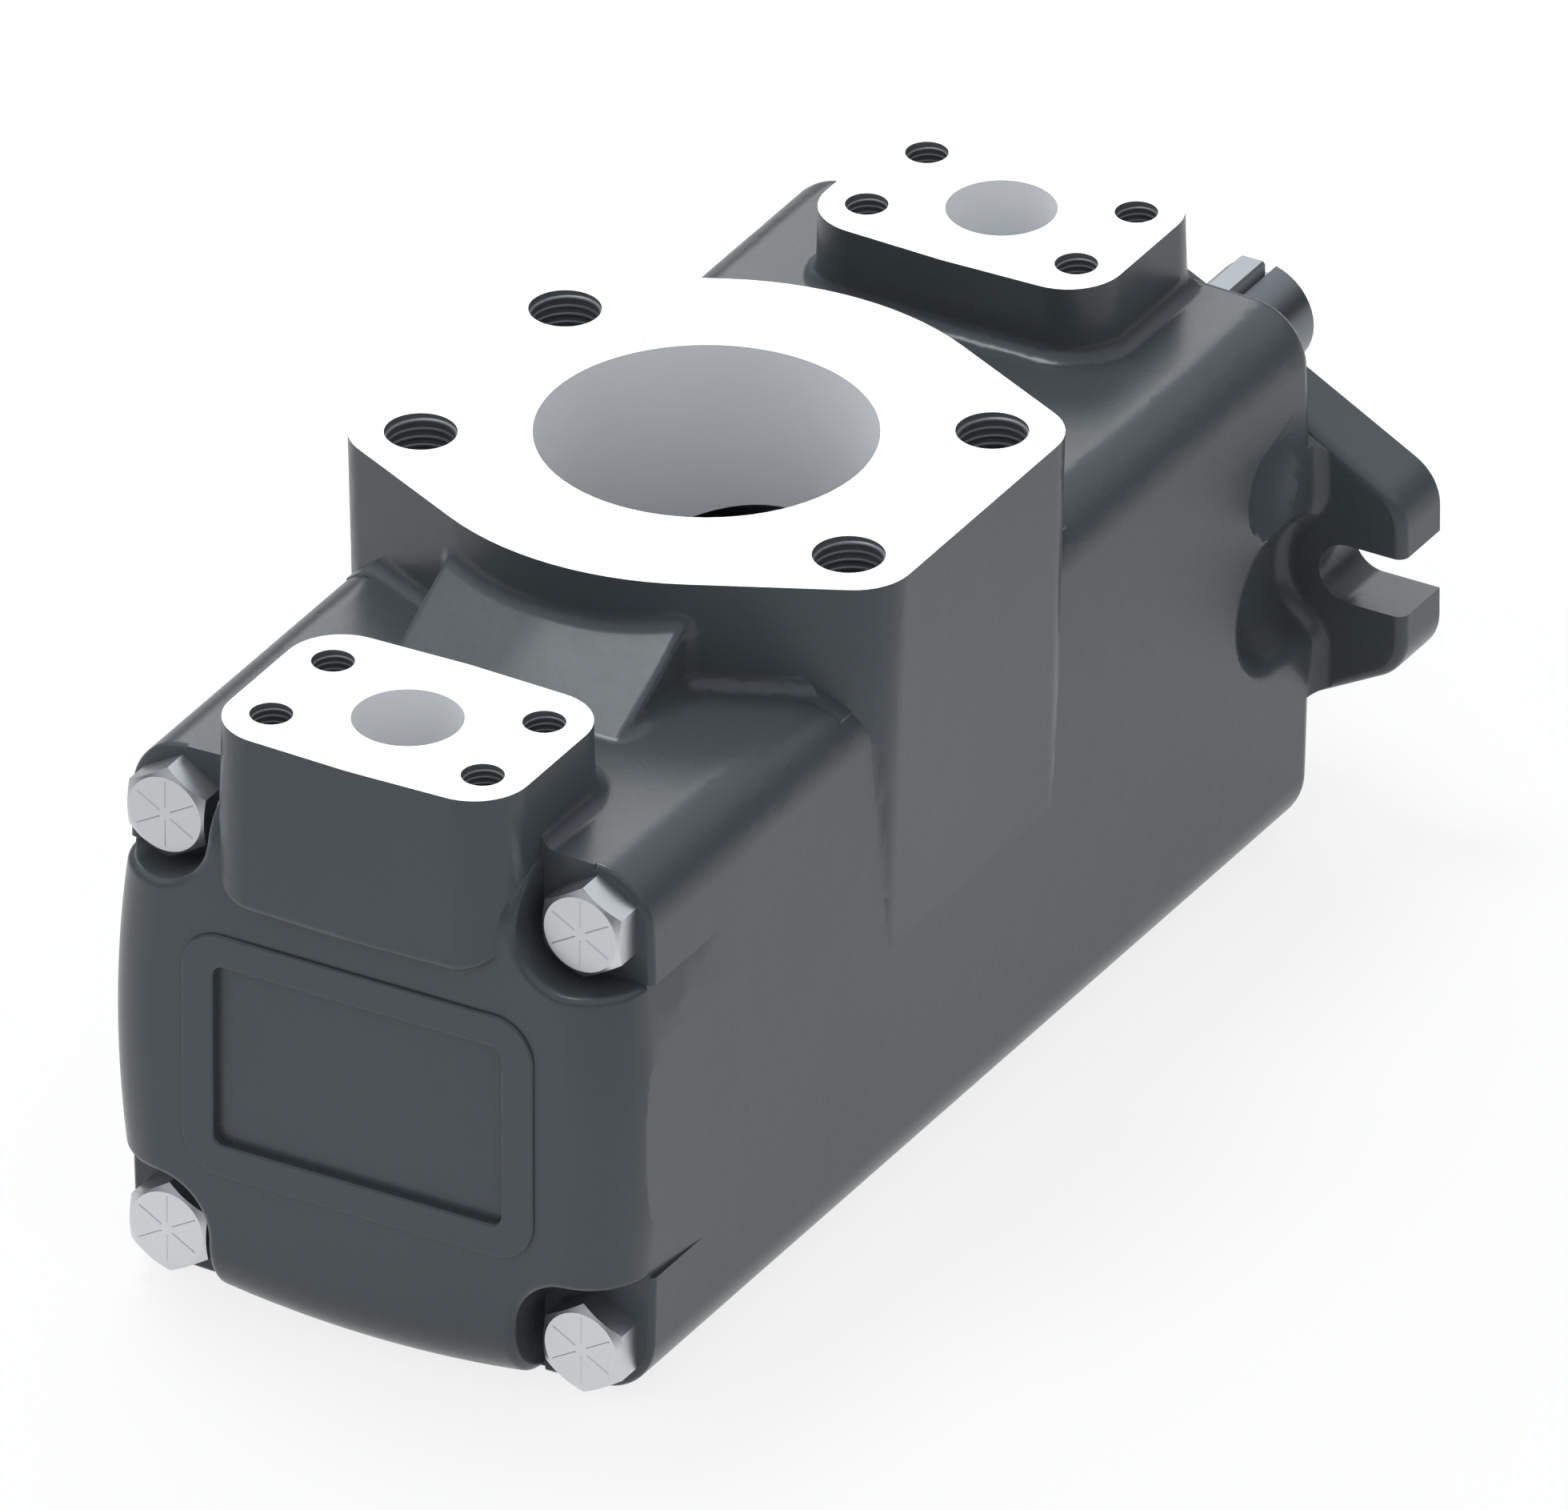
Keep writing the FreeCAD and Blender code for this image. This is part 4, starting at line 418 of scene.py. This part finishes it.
lowest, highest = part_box("cap_bolts")
headX = highest.x - gradeMarks["headWidth"] / 2
headZ = highest.z - gradeMarks["acrossCorners"] / 2
headPoints = [(sx * headX, lowest.y, sz * headZ) for sx in (-1, 1) for sz in (-1, 1)]
marks = growOnPoints("gradeMarks", headPoints, gradeMarkTree(), {
    "Count": gradeMarks["count"], "Inner radius": gradeMarks["innerRadius"],
    "Outer radius": gradeMarks["outerRadius"], "Rib radius": gradeMarks["ribRadius"],
    "Finish": materials["zincSteel"]})
settle(marks, "casing", "cap_bolt_steel")
print("stage: grade marks")


# Tapped threads: one helical ridge round the wall of each bolt hole.
threads = {"suction": {"pitch": 2.0 * mm, "ridge": 0.7 * mm, "length": 28 * mm, "start": 1.1 * mm},
           "pressure": {"pitch": 1.5 * mm, "ridge": 0.5 * mm, "length": 18.5 * mm, "start": 0.7 * mm}}


def threadTree():
    tree, given = startTree("threads", {
        "Radius": "NodeSocketFloat", "Pitch": "NodeSocketFloat", "Ridge": "NodeSocketFloat",
        "Length": "NodeSocketFloat", "Start": "NodeSocketFloat", "Finish": "NodeSocketMaterial"})
    turns = addNode(tree, "ShaderNodeMath", {"operation": "DIVIDE"}, {
        0: given.outputs["Length"], 1: given.outputs["Pitch"]})
    helix = addNode(tree, "GeometryNodeCurveSpiral", inputs={
        "Resolution": 28, "Rotations": turns.outputs[0], "Start Radius": given.outputs["Radius"],
        "End Radius": given.outputs["Radius"], "Height": given.outputs["Length"]})
    section = addNode(tree, "GeometryNodeCurvePrimitiveCircle", inputs={
        "Resolution": 4, "Radius": given.outputs["Ridge"]})
    ridge = addNode(tree, "GeometryNodeCurveToMesh", inputs={
        "Curve": helix.outputs[0], "Profile Curve": section.outputs[0], "Fill Caps": True})
    foot = addNode(tree, "ShaderNodeMath", {"operation": "ADD"}, {
        0: given.outputs["Length"], 1: given.outputs["Start"]})
    down = addNode(tree, "ShaderNodeMath", {"operation": "SUBTRACT"}, {0: 0.0, 1: foot.outputs[0]})
    offset = addNode(tree, "ShaderNodeCombineXYZ", inputs={"Z": down.outputs[0]})
    lowered = addNode(tree, "GeometryNodeTransform", inputs={
        "Geometry": ridge.outputs[0], "Translation": offset.outputs[0]})
    copies = addNode(tree, "GeometryNodeInstanceOnPoints", inputs={
        "Points": given.outputs["Geometry"], "Instance": lowered.outputs[0]})
    return endTree(tree, copies, given.outputs["Finish"])


threadNodes = threadTree()
for size, chosen in (("suction", holes[:4]), ("pressure", holes[4:])):
    look = threads[size]
    piece = growOnPoints(size + "Threads", [tuple(place) for place, radius in chosen], threadNodes, {
        "Radius": chosen[0][1], "Pitch": look["pitch"], "Ridge": look["ridge"],
        "Length": look["length"], "Start": look["start"], "Finish": materials["tappedIronPaintedShade"]})
    settle(piece, "casing", "castings")
print("stage: threads")


# Floor and world: a white backdrop for the camera. Metal and gloss see it too, darker towards the horizon,
# and on the floor a painted pool of light round the pump that dims away from it. The fill light comes more
# from the left than from the right.
studio = {"floorSize": 30.0, "floorColour": "#f4f5f6", "floorWhite": 0.82, "paintedPoolCentre": (0.1, -0.2, 0.0),
          "paintedPoolNear": 0.15, "paintedPoolFar": 0.7, "paintedPoolDim": 0.55, "horizon": 0.12, "horizonHeight": 0.22,
          "skyHeight": 0.72, "sky": 1.0, "fillLeft": 0.92, "fillRight": 0.62, "light": "#f8fbff"}

floorMesh = bpy.data.meshes.new("floor")
half = studio["floorSize"] / 2
corners = [(x, y, cadBox[0][2]) for x, y in ((-half, -half), (half, -half), (half, half), (-half, half))]
floorMesh.from_pydata(corners, [], [(0, 1, 2, 3)])
floor = newPiece("floor", floorMesh)


def seenDirectly(tree, path):
    # 1 for a ray from the camera, or one that metal or glass sends on
    seen = path.outputs["Is Camera Ray"]
    for name in ("Is Glossy Ray", "Is Transmission Ray"):
        either = addNode(tree, "ShaderNodeMath", {"operation": "MAXIMUM"}, {0: seen, 1: path.outputs[name]})
        seen = either.outputs[0]
    return seen


floorMaterial, tree, place = startMaterial("floorPaper")
path = addNode(tree, "ShaderNodeLightPath")
share = addNode(tree, "ShaderNodeMath", {"operation": "MULTIPLY"}, {
    0: seenDirectly(tree, path), 1: studio["floorWhite"]})
paper = addNode(tree, "ShaderNodeBsdfDiffuse", inputs={"Color": linearColour(studio["floorColour"])})
# painted pool of light: the floor's glow that metal and gloss see dims away from the pump, and the pump's
# sides mirror it
away = addNode(tree, "ShaderNodeVectorMath", {"operation": "DISTANCE"}, {
    0: place, 1: studio["paintedPoolCentre"]})
paintedPool = addNode(tree, "ShaderNodeMapRange", inputs={
    "Value": away.outputs["Value"], "From Min": studio["paintedPoolNear"], "From Max": studio["paintedPoolFar"],
    "To Min": 1.0, "To Max": studio["paintedPoolDim"]})
white = addNode(tree, "ShaderNodeMix", {"data_type": "FLOAT"}, {
    0: path.outputs["Is Camera Ray"], 2: paintedPool.outputs[0], 3: 1.0})
glow = addNode(tree, "ShaderNodeEmission", inputs={"Strength": white.outputs[0]})
endMaterial(tree, addNode(tree, "ShaderNodeMixShader", inputs={
    0: share.outputs[0], 1: paper.outputs[0], 2: glow.outputs[0]}))
floorMesh.materials.append(floorMaterial)

world = bpy.data.worlds.new("studio")
bpy.context.scene.world = world
world.use_nodes = True
tree = world.node_tree
tree.nodes.clear()
direction = addNode(tree, "ShaderNodeTexCoord").outputs["Generated"]
parts = addNode(tree, "ShaderNodeSeparateXYZ", inputs={0: direction})
fill = addNode(tree, "ShaderNodeMapRange", inputs={
    "Value": parts.outputs["X"], "From Min": -1.0, "From Max": 1.0, "To Min": studio["fillLeft"],
    "To Max": studio["fillRight"]})
backdrop = addNode(tree, "ShaderNodeMapRange", {"interpolation_type": "SMOOTHSTEP"}, {
    "Value": parts.outputs["Z"], "From Min": studio["horizonHeight"], "From Max": studio["skyHeight"],
    "To Min": studio["horizon"], "To Max": studio["sky"]})
path = addNode(tree, "ShaderNodeLightPath")
lit = addNode(tree, "ShaderNodeMix", {"data_type": "FLOAT"}, {
    0: seenDirectly(tree, path), 2: fill.outputs[0], 3: backdrop.outputs[0]})
strength = addNode(tree, "ShaderNodeMix", {"data_type": "FLOAT"}, {
    0: path.outputs["Is Camera Ray"], 2: lit.outputs[0], 3: 1.0})
colour = addNode(tree, "ShaderNodeMix", {"data_type": "RGBA"}, {
    0: path.outputs["Is Camera Ray"], 6: linearColour(studio["light"]), 7: (1.0, 1.0, 1.0, 1.0)})
background = addNode(tree, "ShaderNodeBackground", inputs={
    "Color": colour.outputs[2], "Strength": strength.outputs[0]})
addNode(tree, "ShaderNodeOutputWorld", inputs={"Surface": background.outputs[0]})

# Two soft boxes: one overhead for the machined faces and the highlights of the fillets, one behind
# the pump's left shoulder that the upward faces mirror.
lamps = {
    "overheadBox": {"place": (-0.42, -0.05, 1.45), "size": 0.45, "power": 9.0},
    "rearBox": {"place": (-0.85, 1.2, 0.95), "size": 1.0, "power": 6.3},
}
aim = Vector((0.0, -0.12, 0.0))
for name, look in lamps.items():
    light = bpy.data.lights.new(name, "AREA")
    light.shape = "SQUARE"
    light.size = look["size"]
    light.energy = look["power"]
    lamp = newPiece(name, light)
    lamp.location = look["place"]
    lamp.rotation_euler = (aim - lamp.location).to_track_quat("-Z", "Y").to_euler()

# The photo is near parallel, so a very long lens stands far off. frameWidth is what it takes in, in metres.
view = {"target": (-0.0003, -0.1338, -0.0075), "back": (0.4330, -0.75, 0.5), "frameWidth": 0.33939,
        "lens": 1600.0, "sensor": 36.0, "clipStart": 1.0, "clipEnd": 60.0}
cameraData = bpy.data.cameras.new("camera")
cameraData.lens = view["lens"]
cameraData.sensor_width = view["sensor"]
cameraData.clip_start = view["clipStart"]
cameraData.clip_end = view["clipEnd"]
camera = newPiece("camera", cameraData)
back = Vector(view["back"]).normalized()
camera.location = Vector(view["target"]) + back * (view["frameWidth"] * view["lens"] / view["sensor"])
camera.rotation_mode = "QUATERNION"
camera.rotation_quaternion = (-back).to_track_quat("-Z", "Y")
bpy.context.scene.camera = camera
bpy.context.scene.view_settings.view_transform = "Standard"
print("stage: studio and camera")
